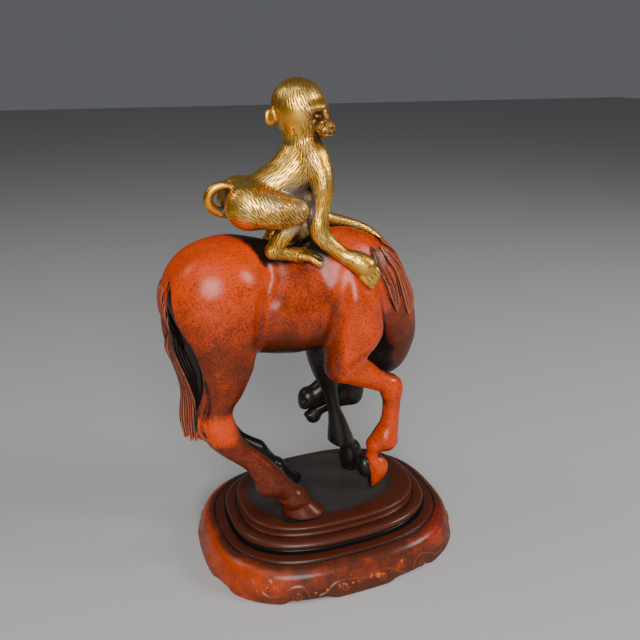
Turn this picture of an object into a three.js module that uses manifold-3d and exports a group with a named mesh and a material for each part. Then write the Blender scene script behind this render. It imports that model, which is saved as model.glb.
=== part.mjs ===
// A bronze figure: a gilt monkey crouches on the back of a horse that bends its head round to its left
// foreleg, on an oval stepped stand.
//
// Units are millimetres. X runs from the horse's tail to its chest, Y to its left side, and Z up. The
// origin is the centre of the stand's underside.

import * as THREE from 'three';
import Module from 'manifold-3d';
import { edgeTable, triTable } from 'three/addons/objects/MarchingCubes.js';
import { mergeVertices } from 'three/addons/utils/BufferGeometryUtils.js';

const wasm = await Module();
wasm.setup();

// Driving dimensions
const STAND_HEIGHT = 21;
const STAND_HALF_LENGTH = 52.2;
const STAND_HALF_WIDTH = 41.3;
const HORSE_MIDDLE = -1; // Y of the plane that halves the horse's trunk
const GAP = 0.3; // between the monkey and the horse
const HORSE_TRIANGLES = 4760;
const MONKEY_TRIANGLES = 2130;

// Shapes
// A shape is a list of parts, each with a distance function and the box it reaches. Adding a part joins it
// to what is there with a fillet of about the size of its blend; cutting a part leaves a soft groove.

const FAR = 1e3;

const joined = (a, b, blend) => {
	const near = Math.max(blend - Math.abs(a - b), 0) / (blend || 1);
	return Math.min(a, b) - near * near * blend / 4;
};

// Points with a radius each, [x, y, z, r], on a smooth curve through the given ones.
function spline(points, steps) {
	const at = (i) => points[THREE.MathUtils.clamp(i, 0, points.length - 1)];
	const out = [];
	for (let i = 0; i < points.length - 1; i++) {
		const [a, b, c, d] = [at(i - 1), at(i), at(i + 1), at(i + 2)];
		for (let s = 0; s < steps; s++) {
			const t = s / steps;
			out.push(b.map((_, k) => 0.5 * (2 * b[k] + (c[k] - a[k]) * t
				+ (2 * a[k] - 5 * b[k] + 4 * c[k] - d[k]) * t * t
				+ (3 * b[k] - a[k] - 3 * c[k] + d[k]) * t * t * t)));
		}
	}
	out.push(points.at(-1));
	return out;
}

class Shape {
	constructor() {
		this.parts = [];
	}

	// A rod of changing thickness along a curve. flat is [x, y, z, share]: the rod is that share as thick
	// along that direction.
	limb(points, { blend = 2, flat = [0, 1, 0, 1], steps = 4, cut = false } = {}) {
		const [fx, fy, fz, share] = flat;
		const length = Math.hypot(fx, fy, fz);
		const [dx, dy, dz] = [fx / length, fy / length, fz / length];
		const stretch = (p) => {
			const along = (p[0] * dx + p[1] * dy + p[2] * dz) * (1 / share - 1);
			return [p[0] + dx * along, p[1] + dy * along, p[2] + dz * along, p[3]];
		};
		const curve = spline(points, points.length > 2 ? steps : 1);
		for (let i = 0; i < curve.length - 1; i++) {
			const [a, b] = [stretch(curve[i]), stretch(curve[i + 1])];
			const [ux, uy, uz] = [b[0] - a[0], b[1] - a[1], b[2] - a[2]];
			const squared = Math.max(ux * ux + uy * uy + uz * uz, 1e-9);
			const distance = (x, y, z) => {
				const along = (x * dx + y * dy + z * dz) * (1 / share - 1);
				const [px, py, pz] = [x + dx * along - a[0], y + dy * along - a[1], z + dz * along - a[2]];
				const t = Math.min(Math.max((px * ux + py * uy + pz * uz) / squared, 0), 1);
				const away = Math.hypot(px - ux * t, py - uy * t, pz - uz * t);
				return (away - a[3] - (b[3] - a[3]) * t) * Math.min(share, 1);
			};
			const ends = [curve[i], curve[i + 1]].map((p) => new THREE.Vector3(...p));
			const reach = Math.max(curve[i][3], curve[i + 1][3]) * Math.max(share, 1);
			const box = new THREE.Box3().setFromPoints(ends);
			// Pieces of one limb meet without a fillet of their own.
			this.parts.push({ distance, box: box.expandByScalar(reach), blend, cut, group: points });
		}
		return this;
	}

	// An egg of three half-axes, turned by angles in degrees about X, Y and Z.
	ball([cx, cy, cz], [rx, ry, rz], { blend = 2, turn = [0, 0, 0], cut = false } = {}) {
		const angles = turn.map(THREE.MathUtils.degToRad);
		const m = new THREE.Matrix4().makeRotationFromEuler(new THREE.Euler(...angles)).transpose().elements;
		const distance = (x, y, z) => {
			const [px, py, pz] = [x - cx, y - cy, z - cz];
			const u = (m[0] * px + m[4] * py + m[8] * pz) / rx;
			const v = (m[1] * px + m[5] * py + m[9] * pz) / ry;
			const w = (m[2] * px + m[6] * py + m[10] * pz) / rz;
			const near = Math.hypot(u, v, w);
			return near * (near - 1) / Math.max(Math.hypot(u / rx, v / ry, w / rz), 1e-6);
		};
		const reach = Math.max(rx, ry, rz);
		const box = new THREE.Box3(
			new THREE.Vector3(cx, cy, cz).subScalar(reach), new THREE.Vector3(cx, cy, cz).addScalar(reach));
		this.parts.push({ distance, box, blend, cut, group: distance });
		return this;
	}

	// The distance from a point to the shape's surface, which is less than 0 inside.
	at(x, y, z) {
		let field = FAR;
		for (let first = 0; first < this.parts.length;) {
			const { blend, cut, group } = this.parts[first];
			let layer = FAR;
			while (first < this.parts.length && this.parts[first].group === group)
				layer = Math.min(layer, this.parts[first++].distance(x, y, z));
			field = cut ? -joined(-field, layer, blend) : joined(field, layer, blend);
		}
		return field;
	}

	// A point moved square to the surface, by a distance worked out from its height over it.
	moved([x, y, z], by) {
		const height = this.at(x, y, z);
		const step = 0.3;
		const slope = new THREE.Vector3(
			this.at(x + step, y, z) - height, this.at(x, y + step, z) - height, this.at(x, y, z + step) - height);
		return new THREE.Vector3(x, y, z).addScaledVector(slope.normalize(), by(height)).toArray();
	}

	// The shape's surface as a closed mesh: the distances are sampled on a lattice and marched over.
	mesh(cell) {
		const bounds = new THREE.Box3();
		for (const part of this.parts) if (!part.cut) bounds.union(part.box);
		bounds.expandByScalar(2 * cell);
		const low = bounds.min;
		const size = bounds.getSize(new THREE.Vector3()).divideScalar(cell).ceil();
		const [nx, ny, nz] = [size.x + 1, size.y + 1, size.z + 1];
		const field = new Float32Array(nx * ny * nz).fill(FAR);
		const layer = new Float32Array(nx * ny * nz).fill(FAR);
		const eachNear = (box, margin, visit) => {
			const from = (k, n) => THREE.MathUtils.clamp(Math.floor((box.min[k] - margin - low[k]) / cell), 0, n);
			const upTo = (k, n) => THREE.MathUtils.clamp(Math.ceil((box.max[k] + margin - low[k]) / cell), 0, n);
			for (let k = from('z', nz - 1); k <= upTo('z', nz - 1); k++)
				for (let j = from('y', ny - 1); j <= upTo('y', ny - 1); j++)
					for (let i = from('x', nx - 1); i <= upTo('x', nx - 1); i++)
						visit(i + nx * (j + ny * k), low.x + i * cell, low.y + j * cell, low.z + k * cell);
		};
		for (let first = 0; first < this.parts.length;) {
			let end = first;
			while (end < this.parts.length && this.parts[end].group === this.parts[first].group) end++;
			const { blend, cut } = this.parts[first];
			const margin = blend + 2 * cell;
			const run = this.parts.slice(first, end);
			for (const part of run)
				eachNear(part.box, margin, (at, x, y, z) => {
					layer[at] = Math.min(layer[at], part.distance(x, y, z));
				});
			for (const part of run)
				eachNear(part.box, margin, (at) => {
					if (layer[at] === FAR) return;
					field[at] = cut ? -joined(-field[at], layer[at], blend) : joined(field[at], layer[at], blend);
					layer[at] = FAR;
				});
			first = end;
		}
		return outermost(march(field, [nx, ny, nz], low, cell));
	}
}

// Marching cubes over a lattice of distances, as points and faces that share their corners.
function march(field, [nx, ny, nz], low, cell) {
	const strides = [1, nx, nx * ny];
	const corners = [[0, 0, 0], [1, 0, 0], [1, 1, 0], [0, 1, 0], [0, 0, 1], [1, 0, 1], [1, 1, 1], [0, 1, 1]];
	const edges = [
		[0, 1], [1, 2], [3, 2], [0, 3], [4, 5], [5, 6], [7, 6], [4, 7], [0, 4], [1, 5], [2, 6], [3, 7]];
	const offsets = corners.map((c) => c[0] * strides[0] + c[1] * strides[1] + c[2] * strides[2]);
	const made = new Map();
	const points = [];
	const faces = [];
	const point = (at, i, j, k, edge) => {
		const [a, b] = edges[edge];
		const axis = corners[b].findIndex((v, n) => v !== corners[a][n]);
		const key = (at + offsets[a]) * 3 + axis;
		if (made.has(key)) return made.get(key);
		const [da, db] = [field[at + offsets[a]], field[at + offsets[b]]];
		// A crossing close to a corner is moved off it, so that no face shrinks to nothing.
		const share = THREE.MathUtils.clamp(da / (da - db), 0.06, 0.94);
		const place = [i, j, k].map((v, n) => v + corners[a][n] + (n === axis ? share : 0));
		points.push([low.x + place[0] * cell, low.y + place[1] * cell, low.z + place[2] * cell]);
		made.set(key, points.length - 1);
		return points.length - 1;
	};
	for (let k = 0; k < nz - 1; k++)
		for (let j = 0; j < ny - 1; j++)
			for (let i = 0; i < nx - 1; i++) {
				const at = i + strides[1] * j + strides[2] * k;
				let kind = 0;
				for (let c = 0; c < 8; c++) if (field[at + offsets[c]] < 0) kind |= 1 << c;
				if (!edgeTable[kind]) continue;
				for (let t = kind * 16; triTable[t] !== -1; t += 3)
					faces.push([2, 1, 0].map((n) => point(at, i, j, k, triTable[t + n])));
			}
	return { points, faces };
}

// The largest connected part of a mesh, without any bubble inside it
function outermost({ points, faces }) {
	const parent = points.map((_, n) => n);
	const root = (n) => {
		while (parent[n] !== n) n = parent[n] = parent[parent[n]];
		return n;
	};
	for (const [a, b, c] of faces) {
		parent[root(a)] = root(b);
		parent[root(b)] = root(c);
	}
	const sizes = new Map();
	for (const [a] of faces) sizes.set(root(a), (sizes.get(root(a)) ?? 0) + 1);
	const [largest] = [...sizes].reduce((x, y) => (y[1] > x[1] ? y : x));
	return { points, faces: faces.filter(([a]) => root(a) === largest) };
}

// Takes the cheapest edges out of a closed mesh until a number of faces is left. An edge costs what its
// removal moves the surface, summed as squared distances to the planes around it.
function decimate({ points, faces }, target) {
	const place = points.map((p) => new THREE.Vector3(...p));
	const planes = place.map(() => new Float64Array(10));
	const around = place.map(() => new Set());
	const corners = faces.map((f) => [...f]);
	const version = new Uint32Array(place.length);
	const [u, v, w] = [new THREE.Vector3(), new THREE.Vector3(), new THREE.Vector3()];
	const normalOf = (a, b, c, out) => out.crossVectors(u.subVectors(b, a), v.subVectors(c, a));
	corners.forEach((f, n) => {
		const normal = normalOf(place[f[0]], place[f[1]], place[f[2]], w).clone();
		const area = normal.length() / 2;
		normal.normalize();
		const q = [normal.x, normal.y, normal.z, -normal.dot(place[f[0]])];
		for (const c of f) {
			around[c].add(n);
			for (let i = 0, k = 0; i < 4; i++) for (let j = i; j < 4; j++) planes[c][k++] += q[i] * q[j] * area;
		}
	});
	const cost = (q, p) => q[0] * p.x * p.x + q[4] * p.y * p.y + q[7] * p.z * p.z + q[9]
		+ 2 * (q[1] * p.x * p.y + q[2] * p.x * p.z + q[5] * p.y * p.z + q[3] * p.x + q[6] * p.y + q[8] * p.z);
	const matrix = new THREE.Matrix3();
	const heap = [];
	const push = (item) => {
		heap.push(item);
		for (let i = heap.length - 1; i > 0;) {
			const up = (i - 1) >> 1;
			if (heap[up].cost <= heap[i].cost) break;
			[heap[up], heap[i]] = [heap[i], heap[up]];
			i = up;
		}
	};
	const pop = () => {
		const top = heap[0];
		const last = heap.pop();
		if (heap.length) {
			heap[0] = last;
			for (let i = 0; ;) {
				let least = i;
				for (const c of [2 * i + 1, 2 * i + 2])
					if (c < heap.length && heap[c].cost < heap[least].cost) least = c;
				if (least === i) break;
				[heap[least], heap[i]] = [heap[i], heap[least]];
				i = least;
			}
		}
		return top;
	};
	const consider = (a, b) => {
		const q = planes[a].map((x, i) => x + planes[b][i]);
		const middle = place[a].clone().add(place[b]).multiplyScalar(0.5);
		const choices = [middle, place[a].clone(), place[b].clone()];
		matrix.set(q[0], q[1], q[2], q[1], q[4], q[5], q[2], q[5], q[7]);
		if (Math.abs(matrix.determinant()) > 1e-4 * (q[0] + q[4] + q[7]) ** 3) {
			const best = new THREE.Vector3(-q[3], -q[6], -q[8]).applyMatrix3(matrix.invert());
			if (best.distanceTo(middle) < 2 * place[a].distanceTo(place[b])) choices.push(best);
		}
		const length = place[a].distanceToSquared(place[b]);
		const priced = choices.map((p) => ({ p, cost: Math.max(cost(q, p), 0) + 1e-5 * length * length }));
		const { p, cost: price } = priced.reduce((x, y) => (y.cost < x.cost ? y : x));
		push({ cost: price, a, b, p, q, stamp: version[a] + version[b] });
	};
	const ring = (n) => new Set([...around[n]].flatMap((f) => corners[f]).filter((c) => c !== n));
	for (const f of corners)
		for (let i = 0; i < 3; i++)
			if (f[i] < f[(i + 1) % 3]) consider(f[i], f[(i + 1) % 3]);
	let left = corners.length;
	while (left > target && heap.length) {
		const { a, b, p, q, stamp } = pop();
		if (stamp !== version[a] + version[b] || !around[a].size || !around[b].size) continue;
		const shared = [...around[a]].filter((f) => around[b].has(f));
		const [ringA, ringB] = [ring(a), ring(b)];
		if (shared.length !== 2 || [...ringA].filter((c) => ringB.has(c)).length !== 2) continue;
		const turns = (keep, n) => [...around[n]].some((f) => {
			if (shared.includes(f)) return false;
			const [x, y, z] = corners[f].map((c) => place[c]);
			const before = normalOf(x, y, z, w).clone();
			const [i, j, k] = corners[f].map((c) => (c === n ? p : place[c]));
			const after = normalOf(i, j, k, w);
			const longest = Math.max(i.distanceToSquared(j), j.distanceToSquared(k), k.distanceToSquared(i));
			return before.dot(after) < 0.35 * before.length() * after.length() || after.length() < 0.08 * longest;
		});
		if (turns(a, a) || turns(b, b)) continue;
		for (const f of shared) {
			for (const c of corners[f]) around[c].delete(f);
			corners[f] = null;
			left--;
		}
		for (const f of around[b]) {
			corners[f] = corners[f].map((c) => (c === b ? a : c));
			around[a].add(f);
		}
		around[b].clear();
		place[a] = p;
		planes[a] = q;
		version[a] += 1;
		version[b] += 1;
		for (const c of ring(a)) consider(a, c);
	}
	return { points: place.map((p) => p.toArray()), faces: corners.filter((f) => f) };
}

// Solids, which can be joined and cut

function solidOf({ points, faces }) {
	return new wasm.Manifold(new wasm.Mesh({
		numProp: 3,
		vertProperties: Float32Array.from(points.flat()),
		triVerts: Uint32Array.from(faces.flat()),
	}));
}

function solidOfGeometry(geometry) {
	for (const name of ['normal', 'uv']) geometry.deleteAttribute(name);
	const merged = mergeVertices(geometry, 1e-4);
	return new wasm.Manifold(new wasm.Mesh({
		numProp: 3,
		vertProperties: merged.attributes.position.array,
		triVerts: Uint32Array.from(merged.index.array),
	}));
}

function geometryOf(solid) {
	const { vertProperties, triVerts, numProp } = solid.getMesh();
	const places = new Float32Array(vertProperties.length / numProp * 3);
	for (let i = 0; i < places.length / 3; i++)
		places.set(vertProperties.subarray(i * numProp, i * numProp + 3), i * 3);
	const geometry = new THREE.BufferGeometry();
	geometry.setAttribute('position', new THREE.BufferAttribute(places, 3));
	geometry.setIndex(new THREE.BufferAttribute(triVerts, 1));
	geometry.computeVertexNormals();
	return geometry;
}

// A solid's mesh with every corner moved out along the surface.
function grown(solid, by) {
	const geometry = geometryOf(solid);
	const [position, normal] = [geometry.attributes.position, geometry.attributes.normal];
	for (let i = 0; i < position.count; i++)
		position.setXYZ(i, position.getX(i) + normal.getX(i) * by, position.getY(i) + normal.getY(i) * by,
			position.getZ(i) + normal.getZ(i) * by);
	return solidOfGeometry(geometry);
}

// The horse
// side is -1 for its right side and 1 for its left.

function trunk(shape) {
	const y = HORSE_MIDDLE;
	shape.ball([-41.8, y, 110], [19, 15, 19.6], { blend: 0 });
	shape.limb([[-34, y, 105.6, 17.2], [-14, y, 101.6, 17.2], [5, y, 102.6, 16.2]],
		{ blend: 6, flat: [0, 1, 0, 0.93] });
	// The top of the back, and the withers
	shape.limb([[-36, y, 120.6, 9.4], [-27, y, 119.4, 9], [-19, y, 116.2, 8.8], [-12, y, 114.6, 8.8],
		[-4, y, 116.6, 9]], { blend: 5 });
	shape.limb([[-5, y, 118.4, 6.5], [1, y, 121.5, 8], [9, 0, 119.5, 9.5], [16, 1, 112, 12]], { blend: 5 });
}

function haunches(shape) {
	const y = HORSE_MIDDLE;
	shape.limb([[-42, y - 7.5, 110, 18], [-42, y - 9, 98, 15.2], [-42.5, y - 11, 88, 10.8],
		[-43.5, y - 12, 80, 7.8]], { blend: 1.5, flat: [0, 1, 0, 0.7] });
	shape.limb([[-41.2, y + 5.5, 110, 16.8], [-41.6, y + 8, 98, 14.8], [-42.5, y + 11, 88, 10.8],
		[-43.5, y + 12, 80, 7.8]], { blend: 1.5, flat: [0, 1, 0, 0.7] });
}

// Creases in front of the thighs, over the right elbow and beside the right hock's tendon: places along
// each, its radius, how deep it is, and its blend
const CREASES = [
	[[[-25.6, -7.4, 125.6], [-23.4, -9.7, 121.8], [-22.4, -10.8, 119.2], [-22.6, -12, 116.7], [-24.5, -13.7, 114.2],
		[-28.6, -16.8, 108.9], [-29.2, -16.6, 104.6], [-29.6, -16.3, 99.5], [-30, -15.4, 94.5], [-30, -13, 89]],
	2.6, 0.7, 4],
	[[[-23.5, 12.5, 116.5], [-26, 14, 111], [-27.4, 15.3, 106], [-29.2, 15, 99], [-30.4, 14.3, 93]], 2.6, 0.7, 4],
	[[[11.6, -15.2, 83], [8.6, -17, 83.6], [6.3, -17, 82.5], [4.4, -16.6, 81], [2.7, -17, 79.8], [1.4, -16.5, 77.6]],
		1.8, 0.6, 2.4],
	[[[-50.2, -16.9, 84.5], [-49.7, -16.9, 79.5], [-49.5, -16.4, 76.2], [-49.9, -15.9, 72.9], [-51.1, -15.9, 70],
		[-52.3, -16.7, 68], [-51.2, -16.4, 62.8]], 1.1, 0.6, 0.8],
];

// A groove that follows the surface and runs out at both ends.
function crease(shape, path, radius, depth, blend) {
	const line = path.map((point, n) => {
		const sink = depth * Math.min(1, Math.sin(Math.PI * n / (path.length - 1)) * 1.8) - 0.1;
		const settled = shape.moved(point, (height) => -height);
		return [...shape.moved(settled, (height) => radius - sink - height), radius];
	});
	shape.limb(line, { blend, cut: true });
}

// The middle of the hollow between the haunch and the tail, with half its width
const TAIL_HOLLOW = [
	[-57.6, -6.4, 117, 0.6], [-58, -7, 112, 1], [-57.4, -8, 107, 1.5], [-55.8, -9.2, 101.5, 2.2],
	[-54.2, -10, 97, 2.9], [-52.9, -10.4, 93, 3.2], [-51.8, -11, 88.5, 3.1], [-51.6, -11.8, 84, 2.7],
	[-51.8, -12.4, 80, 2.1], [-53, -12.8, 76, 1.7], [-54.6, -13, 72, 1.2], [-56, -13, 68, 0.8],
];
const HOLLOW_DEPTH = [0.339, 0.872, -0.354, 2.2]; // the way it goes in, and how many times deeper than wide

function tailHollow(shape) {
	shape.limb(TAIL_HOLLOW, { blend: 0.8, flat: HOLLOW_DEPTH, steps: 3, cut: true });
}

function shoulders(shape) {
	shape.limb([[3, -6, 115, 8], [6.4, -8, 105, 10.8], [8.8, -8.5, 93, 9.8]], { blend: 3 });
	shape.limb([[3, 4, 115, 8], [7, 5.5, 105, 10.5], [8, 6, 92, 10]], { blend: 4 });
	// The hollow behind the right shoulder
	shape.limb([[1.7, -15.5, 117.5, 0.6], [0, -17, 110, 1.6], [-1.4, -17, 101, 2.2], [-2.6, -14.4, 93.3, 1.8],
		[-4, -12, 86, 1]], { blend: 4, cut: true });
}

// A hoof that stands on the stand, with the rounded rim at its top. The place is the middle of its sole.
function hoof(shape, [x, y, z], forward) {
	const f = new THREE.Vector3(...forward).normalize();
	const on = (ahead, up, ...r) => [x + f.x * ahead, y + f.y * ahead, z + up, ...r];
	const turn = THREE.MathUtils.radToDeg(Math.atan2(f.y, f.x));
	shape.limb([on(-2.4, 4.4, 5.4), on(2, -6, 10.6)], { blend: 0.4, flat: [-f.y, f.x, 0, 0.78] });
	shape.ball(on(-2.8, 6.8), [6.6, 5.4, 2.7], { blend: 0.3, turn: [0, 8, turn] });
	shape.ball(on(-2, 9), [3.6, 3.4, 2.6], { blend: 0.8 });
}

function rightHindLeg(shape) {
	shape.limb([[-43, -12.5, 84, 7.5], [-45, -13, 76, 5.7], [-46, -13.5, 69, 5.4], [-45.5, -13.5, 63, 6.2],
		[-42, -13.5, 56.5, 4.9], [-38.5, -13.6, 52.5, 4.2], [-33.5, -13.8, 47.5, 4.1], [-30, -14, 42.5, 4.9],
		[-27.3, -14, 38.2, 5.4]], { blend: 2.5, flat: [0, 1, 0, 0.85] });
	// The tendon to the point of the hock
	shape.limb([[-48.4, -13.5, 86, 1.4], [-50.4, -14, 78, 1.9], [-51.2, -13.8, 72, 2.2], [-52, -13.5, 67, 2.5],
		[-50.6, -13.5, 63, 2.6]], { blend: 0.8 });
	// Fetlock, and the short pastern in front of it
	shape.limb([[-29.5, -14, 35.8, 3.6], [-26.5, -14, 36, 4.4]], { blend: 2 });
	shape.limb([[-25, -14, 36, 4.6], [-20.5, -14, 31.5, 4], [-18.5, -14, 28.5, 5]], { blend: 1.5 });
	hoof(shape, [-15.5, -14, STAND_HEIGHT], [1, -0.25, 0]);
}

function leftHindLeg(shape) {
	shape.limb([[-41, 10.5, 84, 7.5], [-41.5, 10, 76, 5.8], [-43.5, 9.5, 68, 5.4], [-44.5, 9, 61.5, 6],
		[-40.5, 9, 53.5, 4.8], [-35.2, 9, 45.6, 4], [-31, 9, 41.6, 4.1], [-27, 9, 38, 4.9]],
	{ blend: 2.5, flat: [0, 1, 0, 0.85] });
	shape.limb([[-47, 11, 84, 1.4], [-49, 10.5, 76, 1.9], [-51.5, 9.5, 67, 2.4], [-50, 9.3, 62, 2.6]], { blend: 0.8 });
	shape.limb([[-29, 9, 34.5, 3.3], [-26, 9, 35, 4]], { blend: 2 });
	shape.limb([[-25, 9, 35.5, 4.2], [-21, 9, 31, 3.7], [-19, 9, 28, 4.6]], { blend: 1.5 });
	hoof(shape, [-16.5, 8.8, STAND_HEIGHT], [1, 0.2, 0]);
}

function rightForeleg(shape) {
	shape.limb([[9, -8.5, 93, 9.5], [5, -9.5, 85, 8.4], [2.8, -10, 79.5, 6.6]], { blend: 3 });
	shape.limb([[2.5, -10, 78.5, 5.6], [9, -10, 75.8, 5.8], [16, -10, 71.5, 4.5], [22, -10, 68.3, 4]], { blend: 2 });
	// Knee, cannon and fetlock
	shape.ball([24, -10, 66], [4.6, 4.2, 5.4], { blend: 1.5 });
	shape.limb([[24.3, -10, 64, 4], [24.4, -10, 58.5, 3.5], [24, -10, 52, 3.6], [23, -10, 47, 4.4],
		[22, -10, 43.6, 4.9]], { blend: 1.5 });
	shape.limb([[21, -10, 43.6, 4.6], [17.4, -10, 42.2, 3.2]], { blend: 2.5 });
	shape.limb([[24.4, -10, 42.4, 2.9], [17.4, -10, 41.2, 2.3]], { blend: 2 });
	// The fetlock ends in a flat edge, and the hoof hangs from it and stands on its toe.
	shape.limb([[11, -10, 38.6, 1.6], [19, -10, 36, 1.2], [30, -10, 32.6, 1.6]],
		{ blend: 0.6, flat: [0, 1, 0, 4], cut: true });
	shape.limb([[17.2, -10, 40, 2.6], [16.8, -9.8, 37, 2.4]], { blend: 0.8 });
	shape.limb([[16.6, -9.8, 35.6, 2.5], [19.2, -9.8, 31.6, 4.3], [18.6, -9.7, 27.4, 3.4], [17.1, -9.5, 22, 1.2]],
		{ blend: 0.8 });
	shape.ball([14.2, -8.8, 31.4], [3.3, 3.3, 4.9], { blend: 0.3, turn: [0, -10, 0] });
}

function leftForeleg(shape) {
	shape.limb([[8, 6, 92, 10], [3, 7, 81, 8], [2.8, 7.3, 72, 5.8], [4.6, 7.8, 63.5, 3.9], [6, 8, 56.6, 2.9],
		[7.4, 8, 50.6, 2.7], [8.8, 8, 44.4, 3.8], [9.6, 8, 39.6, 4.8], [10.2, 8, 36, 5.4]], { blend: 2.5 });
	// The fetlock ends in a flat edge over the rounded hoof.
	shape.limb([[-2, 8, 35.6, 2], [4, 8, 34.2, 2], [9.4, 8, 32.8, 2], [20, 8, 29.6, 2]],
		{ blend: 0.5, flat: [0, 1, 0, 3.4], cut: true });
	shape.limb([[12.6, 8.2, 36.6, 3], [14, 8.5, 32, 3.4]], { blend: 0.8 });
	shape.ball([15.4, 8.7, 27.6], [4.9, 4.7, 6.8], { blend: 0.5 });
	shape.limb([[15.6, 8.8, 24, 4], [15.8, 9, 16, 4.4]], { blend: 1 });
}

function neck(shape) {
	shape.limb([[6, -1, 110, 14], [15, 1, 108, 14.3], [22.8, 4.4, 101, 13.4], [29.4, 8.3, 91, 12],
		[33.4, 12, 80, 10.9], [33, 14.8, 71.5, 9.6]], { blend: 5, flat: [0.35, 1, 0, 0.8] });
	shape.limb([[32.4, 14.8, 72, 8.6], [30.4, 16.8, 66.8, 7.8], [25, 19.2, 62, 6]],
		{ blend: 4, flat: [0.35, 1, 0, 0.85] });
	// The fold where the neck leaves the right shoulder
	shape.limb([[12.6, -15.4, 112, 0.5], [15.2, -14.4, 107, 1.5], [16.8, -12.6, 100, 2], [17.4, -10.6, 92, 2],
		[16.4, -8.4, 84, 1.2]], { blend: 2.5, cut: true });
}

// The two edges of each lock of the mane, from its root to its tip
const LOCKS = [
	[[[14.9, -9.8, 124.2], [14.4, -11, 120.5], [15.2, -12.3, 117.6], [17.4, -14, 114], [19.6, -14, 110],
		[22, -12.4, 104.6], [27.2, -6, 96.2]],
	[[17.2, -9.9, 124], [18.5, -11.7, 120.6], [20.3, -13.3, 116], [22.6, -13.1, 111.2], [25.2, -11.6, 105.6],
		[26.4, -9.4, 101.6], [27.4, -5.8, 96]]],
	[[[18.7, -9.3, 123.4], [21.3, -10.9, 119], [24, -10.5, 114.2], [26.6, -10.2, 109.4], [29, -8.6, 104],
		[31, -6, 99], [33.4, -2.2, 93.6]],
	[[19, -8, 123.2], [22.6, -6, 119.4], [26.6, -4.4, 114.4], [31, -2.6, 108.4], [34, -1, 103.6],
		[36.4, 1, 98], [34.2, -1.4, 92.8]]],
	[[[20, -4, 122.6], [24, -1.4, 118], [28.4, 0.6, 113], [32, 2.4, 107.6], [35, 4, 102], [37.2, 6, 96], [37, 7, 90]],
		[[19.6, 2, 122.8], [23.6, 5, 117.6], [27, 8.6, 112], [30.2, 11.4, 106], [33, 13.4, 100], [35.4, 14, 95],
			[36.4, 12, 90.4]]],
	[[[19, 3, 123], [22, 9, 117.4], [24.6, 13, 111.4], [27, 15.8, 105.4], [29.6, 17.4, 99.8], [31.6, 18, 94.6],
		[32.4, 18, 90]],
	[[17.6, 5, 123], [19.4, 11, 117.6], [21, 15, 111.6], [22.8, 17.8, 105.8], [25.2, 19.4, 100.4], [28, 20, 95.4],
		[31.6, 19, 90.2]]],
];
const LOCK_RIDGES = 4;
const LOCK_WIDTH = 1.15;

const mixed = (a, b, share) => a.map((v, k) => THREE.MathUtils.lerp(v, b[k], share));

// Locks that fall from the crest, each a few ridges side by side that taper at both ends
function mane(shape) {
	const lines = [];
	for (const [first, last] of LOCKS)
		for (let ridge = 0; ridge < LOCK_RIDGES; ridge++)
			lines.push(first.map((point, n) => {
				const share = n / (first.length - 1);
				const place = mixed(point, last[n], ridge / (LOCK_RIDGES - 1));
				const width = LOCK_WIDTH * Math.min(1, 0.6 + 4 * share, 0.5 + 3 * (1 - share));
				return [...shape.moved(place, (height) => (Math.abs(height) < 4 ? 0.05 - height : 0)), width];
			}));
	for (const line of lines) shape.limb(line, { blend: 0.4 });
}

function head(shape) {
	const y = 20;
	// Cheeks, forehead and nose, with the upper lip hanging over
	shape.ball([19, y, 55.4], [7.4, 5.4, 10], { blend: 4, turn: [0, 24, 0] });
	shape.limb([[25, y - 0.6, 61.6, 6.2], [18, y, 60.4, 6], [10.4, y, 57, 5.2], [4.6, y, 53.6, 4.4],
		[0.4, y, 51.4, 4.2]], { blend: 3, flat: [0, 1, 0, 0.92] });
	shape.ball([-0.4, y, 51.8], [3.5, 3.9, 4.6], { blend: 1.2 });
	shape.ball([-1.8, y, 49], [2, 3.4, 2.6], { blend: 1, turn: [0, 10, 0] });
	shape.ball([21, y, 49.8], [4.4, 4.6, 5.1], { blend: 2 });
	// Jaw and chin
	shape.limb([[17, y, 51, 5.6], [10, y, 48.4, 4.3], [4.8, y, 46, 3.4]], { blend: 2, flat: [0, 1, 0, 0.86] });
	shape.ball([2.6, y, 42.7], [3.4, 3, 3.6], { blend: 1.5 });
	// The parted lips, and nostrils
	shape.limb([[-5, y, 46, 1.1], [-1, y, 46.6, 0.9], [3, y, 47.6, 0.7], [8, y, 49.2, 0.4]],
		{ blend: 0.6, flat: [0, 1, 0, 7], cut: true });
	for (const side of [-1, 1]) {
		shape.ball([-2.4, y + side * 3.2, 51.8], [1.3, 1.2, 0.9], { blend: 0.5, cut: true });
		// Eye with its lid, and an ear laid back
		shape.ball([14.4, y + side * 4.6, 59.4], [2, 1.4, 1.4], { blend: 0.5 });
		shape.limb([[17.4, y + side * 4.6, 60.6, 0.7], [14.6, y + side * 5, 61.4, 0.9], [11.8, y + side * 4.3, 60, 0.6]],
			{ blend: 0.6 });
		shape.limb([[23, y + side * 4.2, 64.5, 2.2], [25, y + side * 5.6, 69, 2.3], [27, y + side * 6, 74.5, 0.7]],
			{ blend: 1, flat: [1, 0, -0.3, 0.7] });
	}
}

// Lines down the tail at the heights of its rows, each with an X for every row: its outer edge, the inner
// edge of its outer strands, and the end of the hollow beside them
const TAIL_ROWS = [117, 113, 108, 103, 98, 93, 88, 83, 78, 73, 68, 63, 57.5];
const TAIL_OUTER = [-59.4, -60.5, -61.2, -61.4, -60.9, -60, -58.6, -57.1, -56, -56, -56.6, -56.8, -56.2];
const TAIL_EDGE = [-57, -58.2, -59, -59.3, -59, -58.3, -56.8, -55, -53.5, -52.3, -52.2, -52.4, -52.6];
const TAIL_END = [-55.8, -56.2, -56.2, -55.4, -53.8, -52.2, -50.4, -49.2, -49, -49.5, -50, -50, -50.4];

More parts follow.
